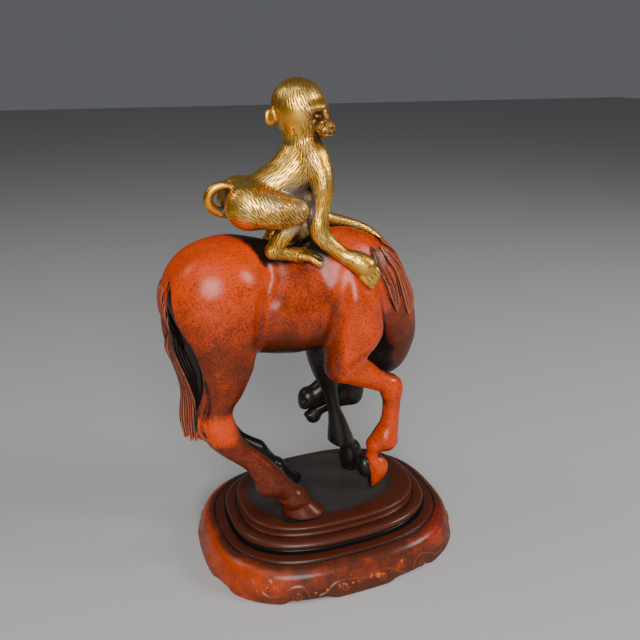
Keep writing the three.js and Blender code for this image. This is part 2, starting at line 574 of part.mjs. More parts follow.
// Strands from one line to another. On the rump they lie on it, and below they hang free.
function tailStrands(body, first, last, count, radius, lift) {
	return Array.from({ length: count }, (_, strand) => first.map((point, n) => {
		const share = n / (first.length - 1);
		const place = mixed(point, last[n], strand / (count - 1));
		const own = lift - 1.1 * THREE.MathUtils.clamp(1 - share / 0.12, 0, 1);
		const onRump = THREE.MathUtils.smoothstep(place[2], 90, 100);
		const settled = body.moved(place, (height) => (
			height < 4 ? onRump * (own - height) + (1 - onRump) * Math.max(own - height, 0) : 0));
		return [...settled, radius * Math.min(1, 0.5 + 4 * share, 0.5 + 8 * (1 - share))];
	}));
}

function tail(shape) {
	const line = (across, y) => across.map((x, n) => [x, y, TAIL_ROWS[n]]);
	const shifted = (points, by) => points.map((point) => point.map((v, k) => v + by[k]));
	const [outer, edge, end] = [line(TAIL_OUTER, -1.8), line(TAIL_EDGE, -6.4), line(TAIL_END, -5.4)];
	// A core that closes the tail, then its strands, and those of its far side
	const core = [0, 0.25, 0.5, 0.75, 1].map((share) => outer.map((point, n) => {
		const place = mixed(point, end[n], share);
		const width = THREE.MathUtils.lerp(0.5, 1.5, THREE.MathUtils.clamp((n - 1) / 3, 0, 1));
		return [place[0] + 1.7 - 1.9 * share, place[1] + 2.2 - share, place[2], width];
	}).slice(1));
	const strands = [
		...tailStrands(shape, outer, edge, 4, 1.1, 0),
		...tailStrands(shape, shifted(edge, [1, 1, 0]), shifted(end, [0, 1.4, 0]), 4, 0.95, -0.5),
		...tailStrands(shape, shifted(outer, [0.2, 1.4, 0]), shifted(end, [0.6, 6.6, 0]), 5, 1.15, 0),
	];
	for (const rod of core) shape.limb(rod, { blend: 1 });
	for (const strand of strands) shape.limb(strand, { blend: 0.3 });
}

function horseShape() {
	const shape = new Shape();
	trunk(shape);
	neck(shape);
	haunches(shape);
	shoulders(shape);
	rightHindLeg(shape);
	leftHindLeg(shape);
	rightForeleg(shape);
	leftForeleg(shape);
	head(shape);
	for (const [path, radius, depth, blend] of CREASES) crease(shape, path, radius, depth, blend);
	tailHollow(shape);
	mane(shape);
	tail(shape);
	return shape;
}

// The monkey

const MONKEY_MIDDLE = -2; // Y of the plane that halves its trunk
const CRANIUM = [-10.7, -2, 172.5];
const FACE_TURN = -51; // degrees from +X, towards the horse's right

function monkeyTrunk(shape) {
	const y = MONKEY_MIDDLE;
	shape.limb([[-30, y, 141, 7], [-22.5, y, 144.8, 7.2], [-15.5, y, 149, 7.6], [-10.6, y, 153.6, 8],
		[-9.6, y, 158.5, 6.6], [-9.6, y, 164, 6.4]], { blend: 2 });
	shape.limb([[-24, y, 139, 6.4], [-16, y + 1, 140, 6], [-9.5, y + 2, 140, 4.6]], { blend: 2 });
	shape.limb([[-14, y + 2, 134, 4.4], [-9, y + 3, 129, 3.6]], { blend: 2 });
	for (const side of [-1, 1]) {
		const leg = y + side * 9;
		// The left knee is a little ahead of the right, and the left haunch a little higher.
		const ahead = side > 0 ? 3 : 0;
		const higher = side > 0 ? 1.2 : 0;
		shape.ball([-30.5, y + side * 5.4, 140.8 + higher], [7.8, 6.6, 7.7], { blend: 2.5 });
		shape.limb([[-29, y + side * 6, 140.4 + higher, 7.2], [-22 + ahead, leg - side * 0.6, 139.4, 6.2],
			[-15.6 + ahead, leg, 138.8, 5]], { blend: 1.6 });
		// Shin, heel and foot, with the toes apart
		const foot = y + side * 6.4;
		shape.limb([[-16 + ahead, leg - side, 134.5, 3.4], [-20 + ahead, leg - side * 1.8, 129.4, 3.1],
			[-22.4 + ahead, foot, 125.9, 2.7]], { blend: 1 });
		shape.limb([[-23.2 + ahead, foot, 124.8, 2.7], [-18 + ahead, foot, 124, 2.6], [-13 + ahead, foot, 122.8, 2.7]],
			{ blend: 1 });
		for (const [toe, reach] of [[-2.4, -1.2], [-0.8, 0.6], [0.8, 1], [2.4, 0.2]]) {
			const low = toe * side * 0.5;
			shape.limb([[-13.5 + ahead, foot + toe * 0.9, 123, 1.5],
				[-10 + ahead, foot + toe * 1.25, 122.9 - low * 0.6, 1.2],
				[-7.4 + reach + ahead, foot + toe * 1.45, 122.2 - low, 1.15],
				[-5 + reach + ahead, foot + toe * 1.45, 120.6 - low, 1.05]], { blend: 0.1 });
		}
	}
}

function monkeyArms(shape) {
	// The right hand lies on the horse's shoulder.
	shape.ball([-7, -6, 155], [5, 5, 6.4], { blend: 3 });
	shape.limb([[-7.2, -7.6, 155.6, 4.6], [-5.6, -9.4, 151, 4.3], [-5.2, -10.4, 146, 3.9], [-5.6, -10.6, 141.3, 3.45],
		[-6.4, -10.6, 137.4, 3.4], [-6.9, -10.8, 132.8, 3.75], [-4.8, -11.4, 128.4, 3.3], [-0.8, -12.6, 124.6, 2.7],
		[2.6, -13.8, 122, 2.6]], { blend: 2.6 });
	shape.limb([[2.6, -13.8, 122, 2.6], [5.8, -15.4, 120.6, 3.7], [8.6, -16.2, 118.6, 4.1]],
		{ blend: 1, flat: [0, 1, 0, 0.85] });
	for (const finger of [-1.5, -0.5, 0.5, 1.5]) {
		const [x, z] = [finger * 1.1, finger * 1.2];
		shape.limb([[8.8 + x, -17, 117.2 + z, 1.5], [10.8 + x, -17.8, 114.9 + z, 1.3],
			[12 + x * 0.7, -17.2, 113 + z, 1.1]], { blend: 0.35 });
	}
	// The left hand reaches round to the mane.
	shape.limb([[-6, 3, 155, 4.4], [-2.6, 5.6, 147, 3.5], [-1, 6, 138, 3], [2, 5.8, 132.2, 2.8], [9, 5.4, 129.9, 2.4],
		[16, 5, 127.4, 2.2], [21, 4.8, 124.2, 2.1], [24.6, 4.2, 121.4, 1.6]], { blend: 2 });
}

function monkeyHead(shape) {
	const turn = THREE.MathUtils.degToRad(FACE_TURN);
	const [c, s] = [Math.cos(turn), Math.sin(turn)];
	// Places on the head are given ahead of its middle, to its left, and up.
	const at = (ahead, left, up) => [
		CRANIUM[0] + ahead * c - left * s, CRANIUM[1] + ahead * s + left * c, CRANIUM[2] + up];
	shape.ball(CRANIUM, [9, 8.6, 8.75], { blend: 1.5 });
	shape.ball(at(0.5, 0, -4), [7.6, 7.4, 6], { blend: 3 });
	// Brow, muzzle, nose, lips and chin
	shape.limb([[...at(7.4, 4.6, -1.2), 1.3], [...at(9, 0, -0.8), 1.6], [...at(7.4, -4.6, -1.2), 1.3]],
		{ blend: 2.4 });
	shape.ball(at(9.6, 0, -6.6), [3.9, 3.6, 2.9], { blend: 1.4, turn: [0, 16, FACE_TURN] });
	shape.limb([[...at(10, 0, -2.4), 1], [...at(11.3, 0, -4.6), 1], [...at(13, 0, -6.4), 1.15]], { blend: 0.7 });
	shape.limb([[...at(11, 2.5, -8), 1], [...at(13, 0, -7.9), 1.15], [...at(11, -2.5, -8), 1]], { blend: 0.5 });
	shape.ball(at(10.6, 0, -9), [2.5, 2.3, 1.3], { blend: 0.6, turn: [0, 0, FACE_TURN] });
	for (const side of [-1, 1]) {
		// Eye in its socket, cheekbone and ear
		shape.ball(at(9.8, side * 3, -3.3), [1.5, 1.8, 1.3], { blend: 0.6, turn: [0, 0, FACE_TURN], cut: true });
		shape.ball(at(9, side * 3, -3.3), [1, 1.1, 0.8], { blend: 0.25, turn: [0, 0, FACE_TURN] });
		shape.ball(at(10.6, side * 2.6, -5.3), [1, 1, 0.9], { blend: 0.6 });
		shape.ball(at(-5.4, side * 8.2, -3.8), [1.5, 2.6, 2.9], { blend: 1.4, turn: [0, 0, FACE_TURN + side * 14] });
	}
}

function monkeyTail(shape) {
	shape.limb([[-35, -2, 137.8, 1.8], [-38.8, -2, 138.6, 1.7], [-42, -2.4, 140.8, 1.7], [-42.6, -2.8, 144, 1.6],
		[-40.8, -3.2, 146.6, 1.6], [-37.6, -3.6, 147.6, 1.5], [-34.4, -4, 146.8, 1.3]], { blend: 0.8 });
}

function monkeyShape() {
	const shape = new Shape();
	monkeyTrunk(shape);
	monkeyArms(shape);
	monkeyHead(shape);
	monkeyTail(shape);
	return shape;
}

// The stand

const STAND_CORNER = 2.65; // 2 would be an ellipse, and more is squarer
const STAND_PROFILE = [
	// height, and how far in from the outline at the foot
	[0.9, 0.2], [3, 0.3], [5.5, 0.6], [8, 1.4], [10.2, 2.6], [11.6, 4.2], [12.4, 6.2],
	[12.1, 6.8], [12.3, 7.2], [12.95, 7.5], [13, 12.2], [13.5, 12.7],
	[14.5, 11.8], [15.3, 11.3], [16.3, 11.5], [17.3, 13.4], [16.9, 15.8],
	[17.5, 16.6], [18.5, 16.6], [20.1, 15.9], [20.7, 16.2], [21, 17.2],
];
const AROUND = 56;
const APRON_RISE = 1.3; // the foot's edge lifts this much between the feet
const FEET = [
	// where each foot is, and half of its span, in degrees round the outline
	[0, 15], [45, 17], [90, 9], [135, 17], [180, 15], [225, 17], [270, 9], [315, 17],
];

// 1 in the middle of a foot and 0 between the feet
function footAt(angle) {
	const degrees = THREE.MathUtils.radToDeg(angle);
	return Math.max(...FEET.map(([middle, half]) => {
		const away = Math.abs(THREE.MathUtils.euclideanModulo(degrees - middle + 180, 360) - 180);
		return THREE.MathUtils.smoothstep(half + 3 - away, 0, 6);
	}));
}

function outlinePoint(angle, inset, height) {
	const [c, s] = [Math.cos(angle), Math.sin(angle)];
	const x = (STAND_HALF_LENGTH - inset) * Math.sign(c) * Math.abs(c) ** (2 / STAND_CORNER);
	const y = (STAND_HALF_WIDTH - inset) * Math.sign(s) * Math.abs(s) ** (2 / STAND_CORNER);
	return [x, y, height];
}

function standSolid() {
	const rings = [];
	const ring = (pointAt) => rings.push(
		Array.from({ length: AROUND }, (_, i) => pointAt(2 * Math.PI * i / AROUND)));
	ring((t) => outlinePoint(t, 6, 0));
	ring((t) => outlinePoint(t, 1 - 0.9 * footAt(t), APRON_RISE * (1 - footAt(t))));
	STAND_PROFILE.forEach(([height, inset], i) => ring((t) => {
		const foot = footAt(t) * Math.max(0, 1 - height / 5);
		return outlinePoint(t, inset - 0.9 * foot, i ? height : height + APRON_RISE * (1 - footAt(t)) * 0.8);
	}));
	const points = rings.flat();
	const faces = [];
	for (let r = 0; r < rings.length - 1; r++)
		for (let i = 0; i < AROUND; i++) {
			const [a, b] = [r * AROUND + i, r * AROUND + (i + 1) % AROUND];
			faces.push([a, b, b + AROUND], [a, b + AROUND, a + AROUND]);
		}
	points.push([0, 0, 0], [0, 0, STAND_HEIGHT]);
	for (let i = 0; i < AROUND; i++) {
		const next = (i + 1) % AROUND;
		faces.push([points.length - 2, next, i]);
		faces.push([points.length - 1, (rings.length - 1) * AROUND + i, (rings.length - 1) * AROUND + next]);
	}
	return solidOf({ points, faces });
}

// Assembly

const figure = new THREE.Group();

function addPiece(name, solid, colour, roughness, metalness) {
	const material = new THREE.MeshStandardMaterial({ color: colour, roughness, metalness });
	const piece = new THREE.Mesh(geometryOf(solid), material);
	piece.name = name;
	figure.add(piece);
}

const stand = standSolid();
const ground = solidOfGeometry(new THREE.BoxGeometry(120, 100, 20).translate(0, 0, STAND_HEIGHT - 10));
const horse = solidOf(decimate(horseShape().mesh(1.15), HORSE_TRIANGLES)).subtract(ground);
const monkey = solidOf(decimate(monkeyShape().mesh(0.75), MONKEY_TRIANGLES)).subtract(grown(horse, GAP));

addPiece('stand', stand, 0x6b2a16, 0.4, 0.4);
addPiece('horse', horse, 0xa83a12, 0.4, 0.4);
addPiece('monkey', monkey, 0xb8892f, 0.35, 0.9);

export default figure;
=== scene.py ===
# The looks of a bronze figure: a gilt monkey on the back of a red-brown horse, on an oval stepped stand.
#
# Shapes are worked out in millimetres and made into metres when a piece is built. X runs from the horse's
# tail to its chest, Y to its left side, and Z up from the stand's underside.

import math

import bpy
import numpy as np
from mathutils import Matrix, Vector
from mathutils.kdtree import KDTree


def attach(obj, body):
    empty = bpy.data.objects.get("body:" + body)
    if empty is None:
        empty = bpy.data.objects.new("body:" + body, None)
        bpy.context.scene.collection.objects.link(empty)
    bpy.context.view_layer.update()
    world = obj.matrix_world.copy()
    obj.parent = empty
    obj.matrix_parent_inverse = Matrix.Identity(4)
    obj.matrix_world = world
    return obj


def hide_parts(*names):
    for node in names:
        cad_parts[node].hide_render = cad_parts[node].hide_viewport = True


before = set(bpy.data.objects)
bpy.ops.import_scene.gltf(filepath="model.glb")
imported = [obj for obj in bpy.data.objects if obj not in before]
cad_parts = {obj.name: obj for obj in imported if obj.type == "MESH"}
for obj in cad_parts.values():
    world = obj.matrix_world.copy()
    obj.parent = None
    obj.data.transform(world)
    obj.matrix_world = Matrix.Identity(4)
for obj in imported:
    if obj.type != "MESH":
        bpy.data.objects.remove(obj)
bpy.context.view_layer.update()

# Driving dimensions
MM = 0.001
STAND_HEIGHT = 21
STAND_HALF_LENGTH = 52.2
STAND_HALF_WIDTH = 41.3
HORSE_MIDDLE = -1  # Y of the plane that halves the horse's trunk
MONKEY_MIDDLE = -2
GAP = 0.3  # between the monkey and the horse

# How fine the surfaces are
HORSE_CELL = 0.42
HAIR_CELL = 0.22
MONKEY_CELL = 0.245
SPACE_CELL = 1.0
TRUNK_SLOPE = 1.2  # how far apart the distances are that give the slopes of the trunk's shading
QUICK_HORSE_CELL = 0.7
QUICK_CELL = 0.4
HORSE_TRIANGLES = 170000
MANE_TRIANGLES = 105000
TAIL_TRIANGLES = 95000
MONKEY_SEAM = 141.5  # the height that parts the monkey's two pieces

# The fur's strokes
STROKE_LENGTH = 3.0
STROKE_GAP = 0.62
STROKE_WIDTH = 0.3
STROKE_DEPTH = 0.16  # the depth that counts as 1 in the material
STROKE_TRIES = 30000
SHALLOWEST = 0.03  # the least depth that gets a stroke
FUR_BLEND = 0.8  # over what distance the fur turns from one guide's way to the next

# The side that the tail is modelled for: the way of sight, the way to its right in X and Y, and how much
# higher a place looks for each millimetre that it lies farther back
SIGHT = [0.339, 0.872, -0.354]
TO_THE_RIGHT = [0.932, -0.362]
RISE = 0.378

# How far out from a surface its hollows are looked for
NEAR_REACHES = (0.6, 1.2, 2.4)
FAR_REACHES = (1.5, 3, 6, 12)

FAR = 1e3  # farther than any place
EDGE = 2.0  # how far outside a part its distances are worked out
SMALL = 1e-9
FLATTEST = 0.05  # the least slope, squared, by which a place is moved to a surface
DEEPEST = 6  # how far from a surface its softening reaches
STRAND_REACH = 0.7  # how far the smoothing reaches that finds what lies between strands


# Distances

def joined(a, b, blend):
    """The distance to two things that are joined with a fillet of about the size of the blend."""
    near = np.maximum(blend - np.abs(a - b), 0) / max(blend, SMALL)
    return np.minimum(a, b) - near * near * blend / 4


def spline(points, steps):
    """A smooth curve through the given points, with their radius as a fourth number."""
    points = np.array(points, float)
    if len(points) < 3:
        return points
    padded = np.vstack([points[:1], points, points[-1:]])
    t = (np.arange(steps) / steps)[:, None]
    out = []
    for a, b, c, d in zip(padded, padded[1:], padded[2:], padded[3:]):
        out.append(0.5 * (2 * b + (c - a) * t + (2 * a - 5 * b + 4 * c - d) * t ** 2
                          + (3 * b - a - 3 * c + d) * t ** 3))
    return np.vstack(out + [points[-1:]])


class Shape:
    """Rods and eggs that are joined or cut in order, each with a fillet of about the size of its blend."""

    def __init__(self):
        self.parts = []

    def limb(self, points, blend=2.0, flat=(0, 1, 0, 1), steps=4, cut=False):
        """A rod along [x, y, z, radius] points. flat is a direction and how thick the rod is along it."""
        self.parts.append(("limb", spline(points, steps), blend, cut, flat))

    def ball(self, centre, radii, blend=2.0, turn=(0, 0, 0), cut=False):
        """An egg of three half-axes, turned by angles in degrees about X, Y and Z."""
        # The angles are applied about Z, then Y, then X.
        rx, ry, rz = (math.radians(v) for v in turn)
        spin = Matrix.Rotation(rx, 3, "X") @ Matrix.Rotation(ry, 3, "Y") @ Matrix.Rotation(rz, 3, "Z")
        self.parts.append(("ball", np.array(centre, float), np.array(radii, float), blend, cut,
                           np.array(spin.inverted())))


class Field:
    """Distances to a shape's surface on a lattice, below 0 inside it."""

    def __init__(self, shape, cell, like=None):
        self.cell = cell
        if like:
            self.low, count = like.low, like.values.shape
        else:
            low, high = reach_of(shape)
            self.low = low - 2 * cell
            count = np.ceil((high - self.low) / cell).astype(int) + 3
        self.axes = [(self.low[k] + cell * np.arange(count[k])).astype(np.float32) for k in range(3)]
        self.values = np.full(count, FAR, np.float32)
        for part in shape.parts:
            self.add(part)

    def window(self, low, high, margin):
        """The part of the lattice that a box and a margin round it cover."""
        out = []
        for k in range(3):
            n = len(self.axes[k])
            a = int(np.clip(np.floor((low[k] - margin - self.low[k]) / self.cell), 0, n))
            b = int(np.clip(np.ceil((high[k] + margin - self.low[k]) / self.cell) + 1, 0, n))
            out.append(slice(a, max(a, b)))
        return tuple(out)

    def places(self, window, centre):
        """The places of a part of the lattice, seen from a centre."""
        x, y, z = (self.axes[k][window[k]] - np.float32(centre[k]) for k in range(3))
        return x[:, None, None], y[None, :, None], z[None, None, :]

    def add(self, part):
        """Joins a part to what is there, or cuts it out."""
        if part[0] == "limb":
            _, curve, blend, cut, flat = part
            share = flat[3]
            direction = np.array(flat[:3], float) / np.linalg.norm(flat[:3])
            reach = curve[:, 3].max() * max(share, 1)
            margin = blend + 2 * self.cell + EDGE
            whole = self.window(curve[:, :3].min(0) - reach, curve[:, :3].max(0) + reach, margin)
            layer = np.full(self.values[whole].shape, FAR, np.float32)
            start = [w.start for w in whole]
            for a, b in zip(curve, curve[1:]):
                r = max(a[3], b[3]) * max(share, 1)
                window = self.window(np.minimum(a, b)[:3] - r, np.maximum(a, b)[:3] + r, margin)
                inner = tuple(slice(w.start - s, w.stop - s) for w, s in zip(window, start))
                layer[inner] = np.minimum(layer[inner], self.rod(window, a, b, direction, share))
        else:
            _, centre, radii, blend, cut, spin = part
            reach = radii.max()
            whole = self.window(centre - reach, centre + reach, blend + 2 * self.cell + EDGE)
            x, y, z = self.places(whole, centre)
            local = [(m[0] * x + m[1] * y + m[2] * z) / r for m, r in zip(spin, radii)]
            near = np.sqrt(sum(v * v for v in local))
            steep = np.sqrt(sum((v / r) ** 2 for v, r in zip(local, radii)))
            layer = near * (near - 1) / np.maximum(steep, SMALL)
        old = self.values[whole]
        new = -joined(-old, layer, blend) if cut else joined(old, layer, blend)
        self.values[whole] = np.where(layer < FAR / 2, new, old)

    def rod(self, window, a, b, direction, share):
        """Distance to a round-ended rod between two points, in space stretched along a direction."""
        more = 1 / share - 1
        stretched = lambda p: p[:3] + direction * (p[:3] @ direction) * more
        along = stretched(b) - stretched(a)
        squared = max(along @ along, SMALL)
        tilt = along + direction * (along @ direction) * more
        x, y, z = self.places(window, a[:3])
        across = direction[0] * x + direction[1] * y + direction[2] * z
        size = x * x + y * y + z * z + across * across * (2 * more + more * more)
        ahead = tilt[0] * x + tilt[1] * y + tilt[2] * z
        t = np.clip(ahead / squared, 0, 1)
        away = np.sqrt(np.maximum(size - 2 * t * ahead + t * t * squared, 0))
        return (away - a[3] - (b[3] - a[3]) * t) * min(share, 1)

    def at(self, points):
        """The distance at any points, by blending the eight nearest of the lattice."""
        place = (points - self.low) / self.cell
        top = np.array(self.values.shape) - 1.001
        place = np.clip(place, 0, top)
        first = place.astype(int)
        share = place - first
        out = np.zeros(len(points))
        for corner in range(8):
            step = [(corner >> k) & 1 for k in range(3)]
            weight = np.ones(len(points))
            for k in range(3):
                weight *= share[:, k] if step[k] else 1 - share[:, k]
            i, j, k = (first + step).T
            out += weight * self.values[i, j, k]
        return out

    def soften(self, share, passes):
        """Smooths the field where the share, which has a value for each lattice point, is above 0."""
        soft = np.clip(self.values, -DEEPEST, DEEPEST)
        for _ in range(passes):
            for axis in range(3):
                soft[:] = (soft + 0.5 * np.roll(soft, 1, axis) + 0.5 * np.roll(soft, -1, axis)) / 2
        self.values += share * (soft - np.clip(self.values, -DEEPEST, DEEPEST))

    def slope(self, points, step=None):
        """The direction out of the shape at any points, not made unit."""
        h = step or self.cell
        return np.stack([(self.at(points + d) - self.at(points - d)) / (2 * h) for d in np.eye(3) * h], 1)

    def settled(self, points):
        """Points near the surface, moved onto it."""
        slope = self.slope(points)
        return points - slope * (self.at(points) / np.maximum((slope ** 2).sum(1), FLATTEST))[:, None]


def reach_of(shape):
    """The box that holds all the parts of a shape that are not cut."""
    low, high = np.full(3, FAR), np.full(3, -FAR)
    for part in shape.parts:
        if part[0] == "limb":
            _, curve, _, cut, flat = part
            reach = curve[:, 3:4] * max(flat[3], 1)
            box = (curve[:, :3] - reach).min(0), (curve[:, :3] + reach).max(0)
        else:
            cut = part[4]
            box = part[1] - part[2].max(), part[1] + part[2].max()
        if not cut:
            low, high = np.minimum(low, box[0]), np.maximum(high, box[1])
    return low, high


def surface(field):
    """The zero surface of a field as points and four-sided faces. Each lattice cell that the surface
    crosses gives one point, and each lattice edge that it crosses gives one face."""
    values = field.values
    inside = values < 0
    count = np.array(values.shape) - 1
    total = np.zeros(count, np.uint8)
    for dx in (0, 1):
        for dy in (0, 1):
            for dz in (0, 1):
                total += inside[dx:count[0] + dx, dy:count[1] + dy, dz:count[2] + dz]
    active = (total > 0) & (total < 8)
    number = np.full(count, -1, np.int64)
    number[active] = np.arange(active.sum())
    places = np.zeros((active.sum(), 3))
    weights = np.zeros(active.sum())
    faces = []
    for axis in range(3):
        low = [slice(None)] * 3
        high = [slice(None)] * 3
        low[axis], high[axis] = slice(0, -1), slice(1, None)
        crossed = np.argwhere(inside[tuple(low)] != inside[tuple(high)])
        step = np.eye(3, dtype=int)[axis]
        a = values[tuple(crossed.T)]
        b = values[tuple((crossed + step).T)]
        point = crossed + step * (a / (a - b))[:, None]
        u, v = np.eye(3, dtype=int)[(axis + 1) % 3], np.eye(3, dtype=int)[(axis + 2) % 3]
        ring = []
        whole = np.ones(len(crossed), bool)
        for shift in (0 * u, -u, -u - v, -v):
            cell = crossed + shift
            fits = ((cell >= 0) & (cell < count)).all(1)
            found = np.where(fits, number[tuple(np.clip(cell, 0, count - 1).T)], -1)
            for k in range(3):
                places[:, k] += np.bincount(found[found >= 0], point[found >= 0, k], len(places))
            weights += np.bincount(found[found >= 0], minlength=len(weights))
            whole &= found >= 0
            ring.append(found)
        quads = np.stack(ring, 1)[whole]
        outward = inside[tuple(crossed[whole].T)]
        faces.append(np.where(outward[:, None], quads, quads[:, ::-1]))
    points = places / weights[:, None] * field.cell + field.low
    return field.settled(field.settled(points)), np.vstack(faces)


# Noise, the same each run

def chaos(points, seed):
    """Smooth noise from about -1 to 1 with features about one unit apart."""
    cell = np.floor(points).astype(np.int64)
    share = points - cell
    ease = share ** 3 * (share * (share * 6 - 15) + 10)
    total = np.zeros(len(points))
    for corner in range(8):
        step = np.array([(corner >> k) & 1 for k in range(3)])
        mixed = ((cell + step) * np.array([73856093, 19349663, 83492791])).sum(1) + seed * 2654435761
        mixed = (mixed ^ (mixed >> 13)) * 1274126177 & 0xFFFFFFFF
        mixed = (mixed ^ (mixed >> 16)) & 0xFFFFFFFF
        angle = (mixed & 0xFFFF) / 65536 * 2 * math.pi
        height = ((mixed >> 16) & 0xFFFF) / 32768 - 1
        flat = np.sqrt(np.maximum(1 - height ** 2, 0))
        away = share - step
        lean = (away[:, 0] * np.cos(angle) + away[:, 1] * np.sin(angle)) * flat + away[:, 2] * height
        weight = np.ones(len(points))
        for k in range(3):
            weight *= ease[:, k] if step[k] else 1 - ease[:, k]
        total += weight * lean
    return total * 1.6


def smooth(low, high, x):
    """A smooth step from 0 where x is low to 1 where it is high."""
    t = np.clip((x - low) / (high - low), 0, 1)
    return t * t * (3 - 2 * t)


# The horse

def trunk(shape):
    y = HORSE_MIDDLE
    shape.ball([-41.8, y, 110], [19, 15, 19.6], blend=0)
    shape.limb([[-34, y, 105.6, 17.2], [-14, y, 101.6, 17.2], [5, y, 102.6, 16.2]],
               blend=6, flat=(0, 1, 0, 0.93))
    # The top of the back, and the withers
    shape.limb([[-36, y, 120.6, 9.4], [-27, y, 119.4, 9], [-19, y, 116.2, 8.8], [-12, y, 114.6, 8.8],
                [-4, y, 116.6, 9]], blend=5)
    shape.limb([[-5, y, 118.4, 6.5], [1, y, 121.5, 8], [9, 0, 119.5, 9.5], [16, 1, 112, 12]], blend=5)


def haunches(shape):
    y = HORSE_MIDDLE
    shape.limb([[-42, y - 7.5, 110, 18], [-42, y - 9, 98, 15.2], [-42.5, y - 11, 88, 10.8],
                [-43.5, y - 12, 80, 7.8]], blend=1.5, flat=(0, 1, 0, 0.7))
    shape.limb([[-41.2, y + 5.5, 110, 16.8], [-41.6, y + 8, 98, 14.8], [-42.5, y + 11, 88, 10.8],
                [-43.5, y + 12, 80, 7.8]], blend=1.5, flat=(0, 1, 0, 0.7))


# Creases in the horse's skin: places along each, its radius, how deep it is, its blend, how far its dirt
# and painted shade reach, and how dark they are
CREASES = [
    # In front of the right thigh, and of the left
    ([[-25.6, -7.4, 125.6], [-24.8, -8.6, 124.1], [-23.4, -9.7, 121.8], [-22.4, -10.8, 119.2],
      [-22.6, -12, 116.7], [-24.5, -13.7, 114.2], [-26.9, -15.5, 111.9], [-28.6, -16.8, 108.9],
      [-29.2, -16.6, 104.6], [-29.6, -16.3, 99.5], [-30, -15.4, 94.5], [-30, -13, 89]],
     2.6, 0.7, 4, 1.9, 0.75),
    ([[-23.5, 12.5, 116.5], [-27.4, 15.3, 106], [-30.4, 14.3, 93]], 2.6, 0.7, 4, 1.8, 0.7),
    # Over the right elbow, and beside the tendon of the right hock
    ([[11.6, -15.2, 83], [8.6, -17, 83.6], [6.3, -17, 82.5], [4.4, -16.6, 81], [2.7, -17, 79.8],
      [1.4, -16.5, 77.6]], 1.8, 0.6, 2.4, 1.7, 0.5),
    ([[-50.2, -16.9, 84.5], [-49.7, -16.9, 79.5], [-49.5, -16.4, 76.2], [-49.9, -15.9, 72.9],
      [-51.1, -15.9, 70], [-52.3, -16.7, 68], [-52.5, -16.6, 65.6], [-51.2, -16.4, 62.8]],
     0.8, 0.7, 0.4, 0.8, 0.95),
]


def curve_through(path, steps):
    """A smooth curve through places that have no radius."""
    return spline(np.column_stack([path, np.zeros(len(path))]), steps)[:, :3]


def crease(body, path, radius, depth, blend):
    """A groove that follows a body's surface and runs out at both ends, and the line that it follows."""
    line = curve_through(path, 4)
    for _ in range(3):
        out = unit(body.slope(line, 1.0))
        line -= out * body.at(line)[:, None]
    sink = depth * np.minimum(1, np.sin(np.linspace(0, math.pi, len(line))) * 1.8) - 0.1
    shape = Shape()
    shape.limb(np.column_stack([line + out * (radius - sink)[:, None], np.full(len(line), radius)]),
               blend=blend, steps=1, cut=True)
    return shape.parts[0], line


# The middle of the hollow between the haunch and the tail, with half its width
TAIL_HOLLOW = [
    [-57.6, -6.4, 117, 0.6], [-58, -7, 112, 1], [-57.4, -8, 107, 1.5], [-55.8, -9.2, 101.5, 2.2],
    [-54.2, -10, 97, 2.9], [-52.9, -10.4, 93, 3.2], [-51.8, -11, 88.5, 3.1], [-51.6, -11.8, 84, 2.7],
    [-51.8, -12.4, 80, 2.1], [-53, -12.8, 76, 1.7], [-54.6, -13, 72, 1.2], [-56, -13, 68, 0.8],
]
HOLLOW_DEPTH = 2.2  # how many times deeper than wide it is


def tail_hollow():
    shape = Shape()
    shape.limb(TAIL_HOLLOW, blend=0.8, flat=(*SIGHT, HOLLOW_DEPTH), steps=3, cut=True)
    return shape.parts[0]


def shoulders(shape):
    shape.limb([[3, -6, 115, 8], [6.4, -8, 105, 10.8], [8.8, -8.5, 93, 9.8]], blend=3)
    shape.limb([[3, 4, 115, 8], [7, 5.5, 105, 10.5], [8, 6, 92, 10]], blend=4)
    # The hollow behind the right shoulder
    shape.limb([[1.7, -15.5, 117.5, 0.6], [0, -17, 110, 1.6], [-1.4, -17, 101, 2.2], [-2.6, -14.4, 93.3, 1.8],
                [-4, -12, 86, 1]], blend=4, cut=True)


def hoof(shape, place, forward):
    """A hoof that stands on the stand, with the rounded rim at its top. place is the middle of its sole."""
    x, y, z = place
    fx, fy = np.array(forward) / np.hypot(*forward)
    on = lambda ahead, up, *r: [x + fx * ahead, y + fy * ahead, z + up, *r]
    shape.limb([on(-2.4, 4.4, 5.4), on(2, -6, 10.6)], blend=0.4, flat=(-fy, fx, 0, 0.78))
    shape.ball(on(-2.8, 6.8), [6.6, 5.4, 2.7], blend=0.3, turn=(0, 8, math.degrees(math.atan2(fy, fx))))
    shape.ball(on(-2, 9), [3.6, 3.4, 2.6], blend=0.8)


